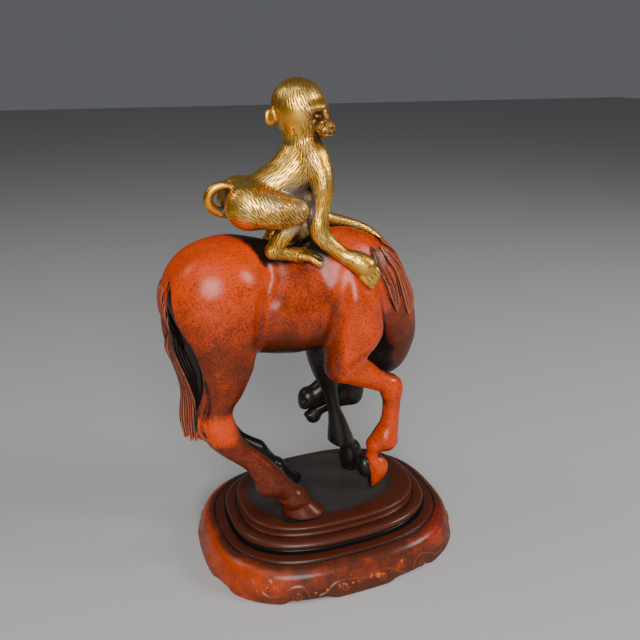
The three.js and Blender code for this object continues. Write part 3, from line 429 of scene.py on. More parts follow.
def right_hind_leg(shape):
    shape.limb([[-43, -12.5, 84, 7.5], [-45, -13, 76, 5.7], [-46, -13.5, 69, 5.4], [-45.5, -13.5, 63, 6.2],
                [-42, -13.5, 56.5, 4.9], [-38.5, -13.6, 52.5, 4.2], [-33.5, -13.8, 47.5, 4.1],
                [-30, -14, 42.5, 4.9], [-27.3, -14, 38.2, 5.4]], blend=2.5, flat=(0, 1, 0, 0.85))
    # The tendon to the point of the hock
    shape.limb([[-48.4, -13.5, 86, 1.4], [-50.4, -14, 78, 1.9], [-51.2, -13.8, 72, 2.2],
                [-52, -13.5, 67, 2.5], [-50.6, -13.5, 63, 2.6]], blend=0.8)
    # Fetlock, and the short pastern in front of it
    shape.limb([[-29.5, -14, 35.8, 3.6], [-26.5, -14, 36, 4.4]], blend=2)
    shape.limb([[-25, -14, 36, 4.6], [-20.5, -14, 31.5, 4], [-18.5, -14, 28.5, 5]], blend=1.5)
    hoof(shape, [-15.5, -14, STAND_HEIGHT], [1, -0.25])


def left_hind_leg(shape):
    shape.limb([[-41, 10.5, 84, 7.5], [-41.5, 10, 76, 5.8], [-43.5, 9.5, 68, 5.4], [-44.5, 9, 61.5, 6],
                [-40.5, 9, 53.5, 4.8], [-35.2, 9, 45.6, 4], [-31, 9, 41.6, 4.1], [-27, 9, 38, 4.9]],
               blend=2.5, flat=(0, 1, 0, 0.85))
    shape.limb([[-47, 11, 84, 1.4], [-49, 10.5, 76, 1.9], [-51.5, 9.5, 67, 2.4], [-50, 9.3, 62, 2.6]],
               blend=0.8)
    shape.limb([[-29, 9, 34.5, 3.3], [-26, 9, 35, 4]], blend=2)
    shape.limb([[-25, 9, 35.5, 4.2], [-21, 9, 31, 3.7], [-19, 9, 28, 4.6]], blend=1.5)
    hoof(shape, [-16.5, 8.8, STAND_HEIGHT], [1, 0.2])


def right_foreleg(shape):
    shape.limb([[9, -8.5, 93, 9.5], [5, -9.5, 85, 8.4], [2.8, -10, 79.5, 6.6]], blend=3)
    shape.limb([[2.5, -10, 78.5, 5.6], [9, -10, 75.8, 5.8], [16, -10, 71.5, 4.5], [22, -10, 68.3, 4]],
               blend=2)
    # Knee, cannon and fetlock
    shape.ball([24, -10, 66], [4.6, 4.2, 5.4], blend=1.5)
    shape.limb([[24.3, -10, 64, 4], [24.4, -10, 58.5, 3.5], [24, -10, 52, 3.6], [23, -10, 47, 4.4],
                [22, -10, 43.6, 4.9]], blend=1.5)
    shape.limb([[21, -10, 43.6, 4.6], [17.4, -10, 42.2, 3.2]], blend=2.5)
    shape.limb([[24.4, -10, 42.4, 2.9], [17.4, -10, 41.2, 2.3]], blend=2)
    # The fetlock ends in a flat edge, and the hoof hangs from it and stands on its toe.
    shape.limb([[11, -10, 38.6, 1.6], [19, -10, 36, 1.2], [30, -10, 32.6, 1.6]],
               blend=0.6, flat=(0, 1, 0, 4), cut=True)
    shape.limb([[17.2, -10, 40, 2.6], [16.8, -9.8, 37, 2.4]], blend=0.8)
    shape.limb([[16.6, -9.8, 35.6, 2.5], [19.2, -9.8, 31.6, 4.3], [18.6, -9.7, 27.4, 3.4],
                [17.1, -9.5, 22, 1]], blend=0.8)
    shape.ball([14.2, -8.8, 31.4], [3.3, 3.3, 4.9], blend=0.3, turn=(0, -10, 0))
    shape.limb([[20.4, -9.5, 36.8, 0.4], [23.4, -9.5, 35, 1.6], [28, -9.5, 32.2, 3.4]], blend=0.3,
               flat=(0, 1, 0, 3), cut=True)


def left_foreleg(shape):
    shape.limb([[8, 6, 92, 10], [3, 7, 81, 8], [2.8, 7.3, 72, 5.8], [4.6, 7.8, 63.5, 3.9], [6, 8, 56.6, 2.9],
                [7.4, 8, 50.6, 2.7], [8.8, 8, 44.4, 3.8], [9.6, 8, 39.6, 4.8], [10.2, 8, 36, 5.4]], blend=2.5)
    # The fetlock ends in a flat edge over the rounded hoof.
    shape.limb([[-2, 8, 35.6, 2], [4, 8, 34.2, 2], [9.4, 8, 32.8, 2], [20, 8, 29.6, 2]], blend=0.5,
               flat=(0, 1, 0, 3.4), cut=True)
    shape.limb([[12.6, 8.2, 36.6, 3], [14, 8.5, 32, 3.4]], blend=0.8)
    shape.ball([15.4, 8.7, 27.6], [4.9, 4.7, 6.8], blend=0.5)
    shape.limb([[15.6, 8.8, 24, 4], [15.8, 9, 16, 4.4]], blend=1)


def neck(shape):
    shape.limb([[6, -1, 110, 14], [15, 1, 108, 14.3], [22.8, 4.4, 101, 13.4], [29.4, 8.3, 91, 12],
                [33.4, 12, 80, 10.9], [33, 14.8, 71.5, 9.6]], blend=5, flat=(0.35, 1, 0, 0.8))
    shape.limb([[32.4, 14.8, 72, 8.6], [30.4, 16.8, 66.8, 7.8], [25, 19.2, 62, 6]],
               blend=4, flat=(0.35, 1, 0, 0.85))
    # The fold where the neck leaves the right shoulder
    shape.limb([[12.6, -15.4, 112, 0.5], [15.2, -14.4, 107, 1.5], [16.8, -12.6, 100, 2], [17.4, -10.6, 92, 2],
                [16.4, -8.4, 84, 1.2]], blend=2.5, cut=True)


# The two edges of each lock of the mane, from its root to its tip, and how many strands lie across it
LOCKS = [
    ([[14.9, -9.8, 124.2], [14.4, -11, 120.5], [15.2, -12.3, 117.6], [17.4, -14, 114], [19.6, -14, 110],
      [22, -12.4, 104.6], [27.2, -6, 96.2]],
     [[17.2, -9.9, 124], [18.5, -11.7, 120.6], [20.3, -13.3, 116], [22.6, -13.1, 111.2], [25.2, -11.6, 105.6],
      [26.4, -9.4, 101.6], [27.4, -5.8, 96]], 7),
    ([[18.7, -9.3, 123.4], [21.3, -10.9, 119], [24, -10.5, 114.2], [26.6, -10.2, 109.4], [29, -8.6, 104],
      [31, -6, 99], [33.4, -2.2, 93.6]],
     [[19, -8, 123.2], [22.6, -6, 119.4], [26.6, -4.4, 114.4], [31, -2.6, 108.4], [34, -1, 103.6],
      [36.4, 1, 98], [34.2, -1.4, 92.8]], 8),
    ([[20, -4, 122.6], [24, -1.4, 118], [28.4, 0.6, 113], [32, 2.4, 107.6], [35, 4, 102], [37.2, 6, 96],
      [37, 7, 90]],
     [[19.6, 2, 122.8], [23.6, 5, 117.6], [27, 8.6, 112], [30.2, 11.4, 106], [33, 13.4, 100], [35.4, 14, 95],
      [36.4, 12, 90.4]], 8),
    ([[19, 3, 123], [22, 9, 117.4], [24.6, 13, 111.4], [27, 15.8, 105.4], [29.6, 17.4, 99.8],
      [31.6, 18, 94.6], [32.4, 18, 90]],
     [[17.6, 5, 123], [19.4, 11, 117.6], [21, 15, 111.6], [22.8, 17.8, 105.8], [25.2, 19.4, 100.4],
      [28, 20, 95.4], [31.6, 19, 90.2]], 7),
]


def strands(shape, body, first, last, count, radius, lift, spread, random, blend):
    """Strands laid side by side on a body between two edges. lift is how far they stand off its surface."""
    first, last = np.array(first, float), np.array(last, float)
    for strand in range(count):
        line = curve_through(first + (last - first) * (strand / (count - 1)), 3)
        n = np.arange(len(line)) / (len(line) - 1)
        stray = np.cumsum(random.uniform(-spread, spread, (len(line), 3)), axis=0)
        line += (stray - n[:, None] * stray[-1]) * 0.5
        height = body.at(line)
        out = unit(body.slope(line, 1.0))
        line += out * np.where(np.abs(height) < 4, lift + random.uniform(0, 0.25) - height, 0)[:, None]
        r = radius * np.minimum(1, 0.5 + 5 * n) * np.minimum(1, 0.35 + 5 * (1 - n))
        shape.limb(np.column_stack([line, r]), blend=blend, steps=1)


def head(shape):
    y = 20
    # Cheeks, forehead and nose, with the upper lip hanging over
    shape.ball([19, y, 55.4], [7.4, 5.4, 10], blend=4, turn=(0, 24, 0))
    shape.limb([[25, y - 0.6, 61.6, 6.2], [18, y, 60.4, 6], [10.4, y, 57, 5.2], [4.6, y, 53.6, 4.4],
                [0.4, y, 51.4, 4.2]], blend=3, flat=(0, 1, 0, 0.92))
    shape.ball([-0.4, y, 51.8], [3.5, 3.9, 4.6], blend=1.2)
    shape.ball([-1.8, y, 49], [2, 3.4, 2.6], blend=1, turn=(0, 10, 0))
    shape.ball([21, y, 49.8], [4.4, 4.6, 5.1], blend=2)
    # Jaw and chin
    shape.limb([[17, y, 51, 5.6], [10, y, 48.4, 4.3], [4.8, y, 46, 3.4]], blend=2, flat=(0, 1, 0, 0.86))
    shape.ball([2.6, y, 42.7], [3.4, 3, 3.6], blend=1.5)
    shape.ball([0, y, 43.6], [1.6, 2.2, 1], blend=0.6, turn=(0, -20, 0))
    # The parted lips, and nostrils
    shape.limb([[-5, y, 46, 1.1], [-1, y, 46.6, 0.9], [3, y, 47.6, 0.7], [8, y, 49.2, 0.4]],
               blend=0.6, flat=(0, 1, 0, 7), cut=True)
    for side in (-1, 1):
        shape.ball([-2.4, y + side * 3.2, 51.8], [1.2, 1.1, 0.8], blend=0.5, cut=True)
        # Eye with its lid, and an ear laid back
        shape.ball([14.4, y + side * 4.6, 59.4], [2, 1.4, 1.4], blend=0.5)
        shape.limb([[17.4, y + side * 4.6, 60.6, 0.7], [14.6, y + side * 5, 61.4, 0.9],
                    [11.8, y + side * 4.3, 60, 0.6]], blend=0.6)
        shape.limb([[23, y + side * 4.2, 64.5, 2.2], [25, y + side * 5.6, 69, 2.3],
                    [27, y + side * 6, 74.5, 0.7]], blend=1, flat=(1, 0, -0.3, 0.7))


# Lines down the tail at the heights of its rows, each with an X for every row: the outer edge, the inner
# edge of the bright strands, and the end of the dark hollow beside them
TAIL_ROWS = [117, 113, 108, 103, 98, 93, 88, 83, 78, 73, 68, 63, 57.5]
TAIL_OUTER = [-59.4, -60.5, -61.2, -61.4, -60.9, -60, -58.6, -57.1, -56, -56, -56.6, -56.8, -56.2]
TAIL_EDGE = [-57, -58.2, -59, -59.3, -59, -58.3, -56.8, -55, -53.5, -52.3, -52.2, -52.4, -52.6]
TAIL_END = [-55.8, -56.2, -56.2, -55.4, -53.8, -52.2, -50.4, -49.2, -49, -49.5, -50, -50, -50.4]
TAIL_EDGE_Y = -6.4
TAIL_END_Y = -5.4


def tail_line(across, y):
    """One line of the tail as points, from its root to its end."""
    return np.array([[x, y, z] for x, z in zip(across, TAIL_ROWS)], float)


def seen(points):
    """How far to the right and how far up each point is from the side that the tail is modelled for."""
    x, y, z = points.T
    right_x, right_y = TO_THE_RIGHT
    return right_x * x + right_y * y, z + RISE * (-right_y * x + right_x * y)


def beside_tail(points):
    """How far each point lies beside the tail's bright strands: 0 at their edge, 1 at the hollow's end."""
    across, up = seen(points)
    limits = []
    for line in (tail_line(TAIL_EDGE, TAIL_EDGE_Y), tail_line(TAIL_END, TAIL_END_Y)):
        side, rise = seen(line[::-1])
        limits.append(np.interp(up, rise, side))
    return (across - limits[0]) / (limits[1] - limits[0])


def tail_strands(shape, body, first, last, count, radius, lift, random):
    """Strands from one line to another. On the rump they lie on it, and below they hang free."""
    for strand in range(count):
        line = first + (last - first) * strand / (count - 1)
        n = np.arange(len(line)) / (len(line) - 1)
        line[:, :2] += random.uniform(-0.15, 0.15, (len(line), 2)) * np.minimum(1, 4 * n)[:, None]
        line[-1, 2] += random.uniform(-0.5, 0.5) - 1.6 * abs(math.sin(1.3 * strand + 0.6))
        height = body.at(line)
        own = lift - 1.1 * smooth(0.12, 0, n)
        on_rump = smooth(90, 100, line[:, 2]) * (height < 4)
        push = on_rump * (own - height) + (1 - on_rump) * np.maximum(own - height, 0)
        line += unit(body.slope(line, 1.0)) * push[:, None]
        r = radius * np.minimum(1, 0.5 + 4 * n) * np.minimum(1, 0.5 + 8 * (1 - n))
        shape.limb(np.column_stack([line, r]), blend=0.1)


def horse_shape():
    shape = Shape()
    trunk(shape)
    neck(shape)
    haunches(shape)
    shoulders(shape)
    right_hind_leg(shape)
    left_hind_leg(shape)
    right_foreleg(shape)
    left_foreleg(shape)
    head(shape)
    return shape


def mane_shape(body):
    shape = Shape()
    random = np.random.default_rng(3)
    for first, last, count in LOCKS:
        # A base that closes the lock, then its strands
        strands(shape, body, first, last, 6, 1.2, -0.7, 0, random, blend=0.6)
        strands(shape, body, first, last, count, 0.54, 0.62, 0.16, random, blend=0.06)
    return shape


def tail_shape(body):
    shape = Shape()
    random = np.random.default_rng(5)
    outer = tail_line(TAIL_OUTER, -1.8)
    edge, end = tail_line(TAIL_EDGE, TAIL_EDGE_Y), tail_line(TAIL_END, TAIL_END_Y)
    # A core that closes the tail, then its strands
    thick = np.interp(np.arange(len(outer)), [1, 4, 12], [0.5, 1.5, 1.5])
    for share in np.linspace(0, 1, 8):
        core = outer + (end - outer) * share + [1.7 - 1.9 * share, 2.2 - share, 0]
        shape.limb(np.column_stack([core, thick])[1:], blend=1)
    tail_strands(shape, body, outer, edge, 7, 0.56, 0.4, random)
    tail_strands(shape, body, edge + [1, 1, 0], end + [0, 1.4, 0], 6, 0.6, -0.2, random)
    # The far side of the tail
    tail_strands(shape, body, outer + [0.2, 1.4, 0], end + [0.6, 6.6, 0], 9, 0.74, 0.35, random)
    return shape


# The monkey

CRANIUM = [-10.7, -2, 172.5]
CRANIUM_RADII = [9, 8.6, 8.6]
CHEEK_RADII = [7.6, 7.4, 6]
FACE_TURN = -51  # degrees from +X, towards the horse's right
SPINE = [[-30, MONKEY_MIDDLE, 141, 7], [-22.5, MONKEY_MIDDLE, 144.8, 7.2], [-15.5, MONKEY_MIDDLE, 149, 7.6],
         [-10.6, MONKEY_MIDDLE, 153.6, 8], [-9.6, MONKEY_MIDDLE, 158.5, 6.6], [-9.6, MONKEY_MIDDLE, 164, 6.4]]
RIGHT_ARM = [[-7.2, -7.6, 155.6, 4.6], [-5.6, -9.4, 151, 4.3], [-5.2, -10.4, 146, 3.9],
             [-5.6, -10.6, 141.3, 3.45], [-6.4, -10.6, 137.4, 3.4], [-6.9, -10.8, 132.8, 3.75],
             [-4.8, -11.4, 128.4, 3.3], [-0.8, -12.6, 124.6, 2.7], [2.6, -13.8, 122, 2.6]]
LEFT_ARM = [[-6, 3, 155, 4.4], [-2.6, 5.6, 147, 3.5], [-1, 6, 138, 3], [2, 5.8, 132.2, 2.8],
            [9, 5.4, 129.9, 2.4], [16, 5, 127.4, 2.2], [21, 4.8, 124.2, 2.1], [24.6, 4.2, 121.4, 1.6]]


HAUNCH_RADII = [7.8, 6.6, 7.7]
TOES = [(-2.4, -1.2), (-0.8, 0.6), (0.8, 1), (2.4, 0.2)]  # how far to the left each lies, and its reach


def monkey_leg(side):
    """The haunch's middle, and rods for the thigh, shin, sole and toes. The left leg is a little ahead."""
    y = MONKEY_MIDDLE
    leg, foot = y + side * 9, y + side * 6.4
    ahead, higher = (3, 1.2) if side > 0 else (0, 0)
    haunch = [-30.5, y + side * 5.4, 140.8 + higher]
    thigh = [[-29, y + side * 6, 140.4 + higher, 7.2], [-22 + ahead, leg - side * 0.6, 139.4, 6.2],
             [-15.6 + ahead, leg, 138.8, 5]]
    shin = [[-16 + ahead, leg - side, 134.5, 3.4], [-20 + ahead, leg - side * 1.8, 129.4, 3.1],
            [-22.4 + ahead, foot, 125.9, 2.7]]
    sole = [[-23.2 + ahead, foot, 124.8, 2.7], [-18 + ahead, foot, 124, 2.6], [-13 + ahead, foot, 122.8, 2.7]]
    toes = []
    for toe, reach in TOES:
        low = toe * side * 0.5
        toes.append([[-13.5 + ahead, foot + toe * 0.9, 123, 1.5],
                     [-10 + ahead, foot + toe * 1.25, 122.9 - low * 0.6, 1.15],
                     [-7.4 + reach + ahead, foot + toe * 1.45, 122.2 - low, 1.1],
                     [-5 + reach + ahead, foot + toe * 1.45, 120.6 - low, 1.05]])
    return haunch, thigh, shin, sole, toes


def monkey_trunk(shape):
    y = MONKEY_MIDDLE
    shape.limb(SPINE, blend=2)
    shape.limb([[-24, y, 139, 6.4], [-16, y + 1, 140, 6], [-9.5, y + 2, 140, 4.6]], blend=2)
    shape.limb([[-14, y + 2, 134, 4.4], [-9, y + 3, 129, 3.6]], blend=2)
    for side in (-1, 1):
        haunch, thigh, shin, sole, toes = monkey_leg(side)
        shape.ball(haunch, HAUNCH_RADII, blend=2.5)
        shape.limb(thigh, blend=1.6)
        shape.limb(shin, blend=1)
        shape.limb(sole, blend=1)
        for toe in toes:
            shape.limb(toe, blend=0.1)


def monkey_arms(shape):
    # The right hand lies on the horse's shoulder.
    shape.ball([-7, -6, 155], [5, 5, 6.4], blend=3)
    shape.limb(RIGHT_ARM, blend=2.6)
    shape.limb([RIGHT_ARM[-1], [5.8, -15.4, 120.6, 3.7], [8.6, -16.2, 118.6, 4.1]],
               blend=1, flat=(0, 1, 0, 0.85))
    for finger in (-1.5, -0.5, 0.5, 1.5):
        x, z = finger * 1.1, finger * 1.2
        shape.limb([[8.8 + x, -17, 117.2 + z, 1.5], [10.8 + x, -17.8, 114.9 + z, 1.3],
                    [12 + x * 0.7, -17.2, 113 + z, 1.1]], blend=0.35)
    # The left hand reaches round to the mane.
    shape.limb(LEFT_ARM, blend=2)


def on_head(ahead, left, up):
    """A place on the head, ahead of its middle, to its left, and up."""
    c, s = math.cos(math.radians(FACE_TURN)), math.sin(math.radians(FACE_TURN))
    return [CRANIUM[0] + ahead * c - left * s, CRANIUM[1] + ahead * s + left * c, CRANIUM[2] + up]


def monkey_head(shape):
    at = on_head
    ahead = (0, 0, FACE_TURN)
    shape.ball(CRANIUM, CRANIUM_RADII, blend=1.5)
    shape.ball(at(0.5, 0, -4), CHEEK_RADII, blend=3)
    # Brow, muzzle, nose, lips and chin, and the line between the lips
    shape.limb([[*at(7.4, 4.6, -1.2), 1.3], [*at(9, 0, -0.8), 1.6], [*at(7.4, -4.6, -1.2), 1.3]], blend=2.4)
    shape.ball(at(9.6, 0, -6.6), [3.9, 3.6, 2.9], blend=1.4, turn=(0, 16, FACE_TURN))
    shape.limb([[*at(10, 0, -2.4), 1], [*at(11.3, 0, -4.6), 1], [*at(13, 0, -6.4), 1.15]], blend=0.7)
    shape.limb([[*at(11, 2.5, -8), 1], [*at(13, 0, -7.9), 1.15], [*at(11, -2.5, -8), 1]], blend=0.5)
    shape.ball(at(10.6, 0, -9), [2.5, 2.3, 1.3], blend=0.6, turn=ahead)
    shape.limb([[*at(11.4, 2.6, -8.8), 0.2], [*at(13.4, 0, -8.7), 0.35], [*at(11.4, -2.6, -8.8), 0.2]],
               blend=0.3, cut=True)
    for side in (-1, 1):
        # Eye in its socket, cheekbone and nostril
        shape.ball(at(9.8, side * 3, -3.3), [1.5, 1.8, 1.3], blend=0.6, turn=ahead, cut=True)
        shape.ball(at(9, side * 3, -3.3), [1, 1.1, 0.8], blend=0.25, turn=ahead)
        shape.ball(at(10.6, side * 2.6, -5.3), [1, 1, 0.9], blend=0.6)
        shape.ball(at(13.3, side * 0.9, -7), [0.5, 0.4, 0.4], blend=0.2, turn=ahead, cut=True)
        # Folds from the nose and from the eye down the cheek
        shape.limb([[*at(11.6, side * 2, -5.2), 0.3], [*at(10.9, side * 3.5, -6.8), 0.5],
                    [*at(10.4, side * 3.8, -8.6), 0.3]], blend=0.4, cut=True)
        shape.limb([[*at(8.6, side * 4.6, -3.4), 0.3], [*at(9, side * 4.6, -5.2), 0.5],
                    [*at(9.4, side * 4.6, -7), 0.3]], blend=0.5, cut=True)
        # Ear, a little hollow in front
        out = (0, 0, FACE_TURN + side * 14)
        shape.ball(at(-5.4, side * 8.2, -3.8), [1.5, 2.6, 2.9], blend=1.4, turn=out)
        shape.ball(at(-3, side * 10.6, -3.4), [1.3, 1.2, 1.5], blend=2, turn=out, cut=True)


def monkey_tail(shape):
    shape.limb([[-35, -2, 137.8, 1.8], [-38.8, -2, 138.6, 1.7], [-42, -2.4, 140.8, 1.7],
                [-42.6, -2.8, 144, 1.6], [-40.8, -3.2, 146.6, 1.6], [-37.6, -3.6, 147.6, 1.5],
                [-34.4, -4, 146.8, 1.3]], blend=0.8)


def monkey_shape():
    shape = Shape()
    monkey_trunk(shape)
    monkey_arms(shape)
    monkey_head(shape)
    monkey_tail(shape)
    return shape


# Meshes

def new_mesh(name, points, faces):
    """A mesh in metres from points in millimetres and faces of three or four corners."""
    mesh = bpy.data.meshes.new(name)
    faces = np.asarray(faces)
    mesh.vertices.add(len(points))
    mesh.vertices.foreach_set("co", (np.asarray(points) * MM).astype(np.float32).ravel())
    mesh.loops.add(faces.size)
    mesh.loops.foreach_set("vertex_index", faces.astype(np.int32).ravel())
    mesh.polygons.add(len(faces))
    mesh.polygons.foreach_set("loop_start", np.arange(0, faces.size, faces.shape[1], dtype=np.int32))
    mesh.update(calc_edges=True)
    mesh.validate()
    return mesh


def placed(name, data):
    """A new object in the scene."""
    thing = bpy.data.objects.new(name, data)
    bpy.context.scene.collection.objects.link(thing)
    return thing


def thinned(name, mesh, triangles):
    """The mesh with the edges taken out that matter least, down to a number of triangles."""
    piece = placed(name, mesh)
    now = sum(len(p.vertices) - 2 for p in mesh.polygons)
    if now > triangles:
        modifier = piece.modifiers.new("thin", "DECIMATE")
        modifier.ratio = triangles / now
    graph = bpy.context.evaluated_depsgraph_get()
    out = bpy.data.meshes.new_from_object(piece.evaluated_get(graph))
    bpy.data.objects.remove(piece)
    bpy.data.meshes.remove(mesh)
    out.name = name
    return out


def points_of(mesh):
    """The places of a mesh's points, in millimetres."""
    out = np.zeros(len(mesh.vertices) * 3, np.float32)
    mesh.vertices.foreach_get("co", out)
    return out.reshape(-1, 3).astype(float) / MM


def mark(mesh, name, values):
    """A number for each of the mesh's points, which its material reads."""
    attribute = mesh.attributes.new(name, "FLOAT", "POINT")
    attribute.data.foreach_set("value", np.asarray(values, np.float32))


def unit(vectors):
    """The vectors at a length of one."""
    return vectors / np.maximum(np.linalg.norm(vectors, axis=1), SMALL)[:, None]


def openness(field, points, normals, reaches):
    """How open the space in front of a surface is, from 0 in a hollow to 1 in the open."""
    return sum(np.clip(field.at(points + normals * reach) / reach, 0, 1) for reach in reaches) / len(reaches)


def hollow_at(field, around, points, normals, near_share):
    """How deep each point lies in a hollow of its own piece and, for the rest, of the whole figure."""
    near = openness(field, points, normals, NEAR_REACHES)
    far = openness(around, points, normals, FAR_REACHES)
    return 1 - near_share * near - (1 - near_share) * far


# The stand

STAND_CORNER = 2.65  # 2 would be an ellipse, and more is squarer
STAND_PROFILE = [
    # height, and how far in from the outline at the foot
    [0.9, 0.2], [3, 0.3], [5.5, 0.6], [8, 1.4], [10.2, 2.6], [11.6, 4.2], [12.4, 6.2],
    [12.1, 6.8], [12.3, 7.2], [12.95, 7.5], [13, 9.5], [13, 12.2], [13.5, 12.7], [14.1, 12.4],
    [14.5, 11.8], [15.3, 11.3], [16.3, 11.5], [17, 12.3], [17.3, 13.4], [17.1, 14.8], [16.9, 15.8],
    [17.3, 16.5], [18.2, 16.7], [18.9, 16.5], [19.4, 16.1], [20.1, 15.9], [20.7, 16.2], [21, 17.2],
]
STAND_SEAM = [12.1, 6.8]  # the incised line between its two pieces
UNDER_RINGS = [41.2, 36, 24, 10, 6]  # how far in the rings lie that close its underside
TOP_RINGS = [18.5, 21, 24, 27, 30, 33, 36, 39, 41.2]
APRON_RISE = 0.8  # how much its lower edge lifts between the feet
FOOT_DEPTH = 0.9  # how far the feet stand out
FEET = [  # where each foot is, and half of its span, in degrees round the outline
    [0, 15], [45, 17], [90, 9], [135, 17], [180, 15], [225, 17], [270, 9], [315, 17]]
AROUND = 1080  # how many points each ring has
WALL_STEP = 0.34  # how far apart the rings of the wall are
TOP_STEP = 0.6

# Raised curls on the wall: the angle round the stand from the middle of a long side, the height of the
# centre, the radius, how far it winds in turns, the way it winds, and where its outer end is in degrees
CURLS = [
    [4.5, 4.3, 1.7, 1.4, 1, 200], [23, 2.9, 1.9, 1.5, -1, 0], [38, 7.2, 2.3, 1.8, 1, 200],
    [49, 6.9, 2.2, 1.7, -1, 20], [68, 6.2, 2.1, 1.5, 1, 180], [84, 4.6, 1.8, 1.4, -1, 20],
]
# Raised waves that run between the curls, as the same angles and heights
WAVES = [
    [[42, 7.2], [41.5, 5], [38, 3.2], [33, 3.3], [29, 5.2], [25, 6.6], [21, 6.4], [18.6, 4.2], [18, 1.6]],
    [[64, 8.4], [61, 7.4], [58, 5], [56.5, 2.4]],
    [[14, 2.2], [11, 3.4], [9, 5.4], [6, 6.6], [2.4, 6.5], [0, 5.4]],
    [[80, 1.8], [76, 3.4], [73, 5.6]],
]
CURL_HEIGHT = 0.38
CURL_WIDTH = 0.33
CURL_WINDING = 0.82  # how much of its radius a curl loses as it winds
CURL_GROUND = 0.25  # how deep the ground between the curls lies
CARVED_FROM, CARVED_TO = 0.5, 10.5  # the heights between which the wall is carved


def foot_at(degrees):
    """1 in the middle of a foot and 0 between the feet."""
    out = np.zeros_like(degrees)
    for middle, half in FEET:
        away = np.abs((degrees - middle + 180) % 360 - 180)
        out = np.maximum(out, smooth(0, 6, half + 3 - away))
    return out


def outline(angle, inset):
    """The stand's outline, drawn in by the inset."""
    c, s = np.cos(angle), np.sin(angle)
    x = (STAND_HALF_LENGTH - inset) * np.sign(c) * np.abs(c) ** (2 / STAND_CORNER)
    y = (STAND_HALF_WIDTH - inset) * np.sign(s) * np.abs(s) ** (2 / STAND_CORNER)
    return x, y


def even(curve, step):
    """The curve's points at about equal steps."""
    length = np.concatenate([[0], np.cumsum(np.linalg.norm(np.diff(curve, axis=0), axis=1))])
    at = np.linspace(0, length[-1], int(length[-1] / step) + 1)
    return np.stack([np.interp(at, length, curve[:, k]) for k in range(curve.shape[1])], 1)


def curl_height(along, height, from_middle):
    """How far the curls stand out at each place on the wall, which is along the outline and up it."""
    lines = []
    for at, z, radius, turns, way, start in CURLS:
        t = np.linspace(0, 1, 60)
        r = radius * (1 - CURL_WINDING * t)
        turn = np.radians(start) + way * t * turns * 2 * math.pi
        middle = from_middle(math.radians(at))
        lines.append(np.stack([middle + r * np.cos(turn), z + r * np.sin(turn)], 1))
    for wave in WAVES:
        lines.append(spline([[from_middle(math.radians(at)), z, 0] for at, z in wave], 8)[:, :2])
    best = np.full(len(along), FAR)
    for line in lines:
        for a, b in zip(line, line[1:]):
            way = b - a
            near = (np.abs(along - a[0]) < 2) & (np.abs(height - a[1]) < 2)
            x, z = along[near] - a[0], height[near] - a[1]
            t = np.clip((x * way[0] + z * way[1]) / max(way @ way, SMALL), 0, 1)
            best[near] = np.minimum(best[near], np.hypot(x - t * way[0], z - t * way[1]))
    return CURL_HEIGHT * np.exp(-(best / CURL_WIDTH) ** 2)


def hollowness(profile):
    """For each point of the stand's section, how deep it lies in a groove and how sharp an edge it is."""
    flat = np.column_stack([-profile[:, 1], profile[:, 0]])
    way = unit(np.gradient(flat, axis=0))
    out = np.column_stack([way[:, 1], -way[:, 0]])
    scores = []
    for side in (1, -1):
        total = 0
        for reach in NEAR_REACHES:
            place = flat + side * out * reach
            away = np.linalg.norm(place[:, None, :] - flat[None, :, :], axis=2).min(1)
            total = total + np.clip(away / reach, 0, 1)
        scores.append(1 - total / len(NEAR_REACHES))
    return scores


def patches(points, spots):
    """1 in the middle of each spot and 0 away from them all. A spot is a place and how wide it is."""
    out = np.zeros(len(points))
    for x, y, z, width in spots:
        away = np.linalg.norm(points - np.array([x, y, z]), axis=1)
        out = np.maximum(out, smooth(width, 0, away))
    return out


# Where the lacquer is chipped to bright orange, with the width of each patch
CHIPS = [
    [-19.1, -39.9, 3.6, 1.5], [-14.6, -40.4, 4.4, 1.5], [-10, -40.8, 4.8, 1.6], [-7.4, -40.9, 5, 1.5],
    [-4.6, -41, 5, 1.5], [-2.4, -41, 4.8, 1.2], [3.2, -40.9, 5.4, 2.4], [5.6, -40.9, 5, 2.6],
    [8, -40.8, 4.8, 1.6], [11.2, -40.6, 4.9, 1], [16.4, -39.4, 7.2, 1.5], [-50.5, -2.4, 8.5, 1.3],
    [-39, -31.5, 4.4, 1], [22, 39, 6, 1.6], [-8, 41, 5, 1.8], [-30, 37, 8, 1.3], [46, 20, 7, 1.5],
    [50, -6, 5, 1.3],
]
# Where fine red sparks show through it, in the same way
EMBERS = [[36, -31, 9.5, 9], [42, -24, 11, 7], [31, -34, 10, 6], [-40, 28, 10, 6]]


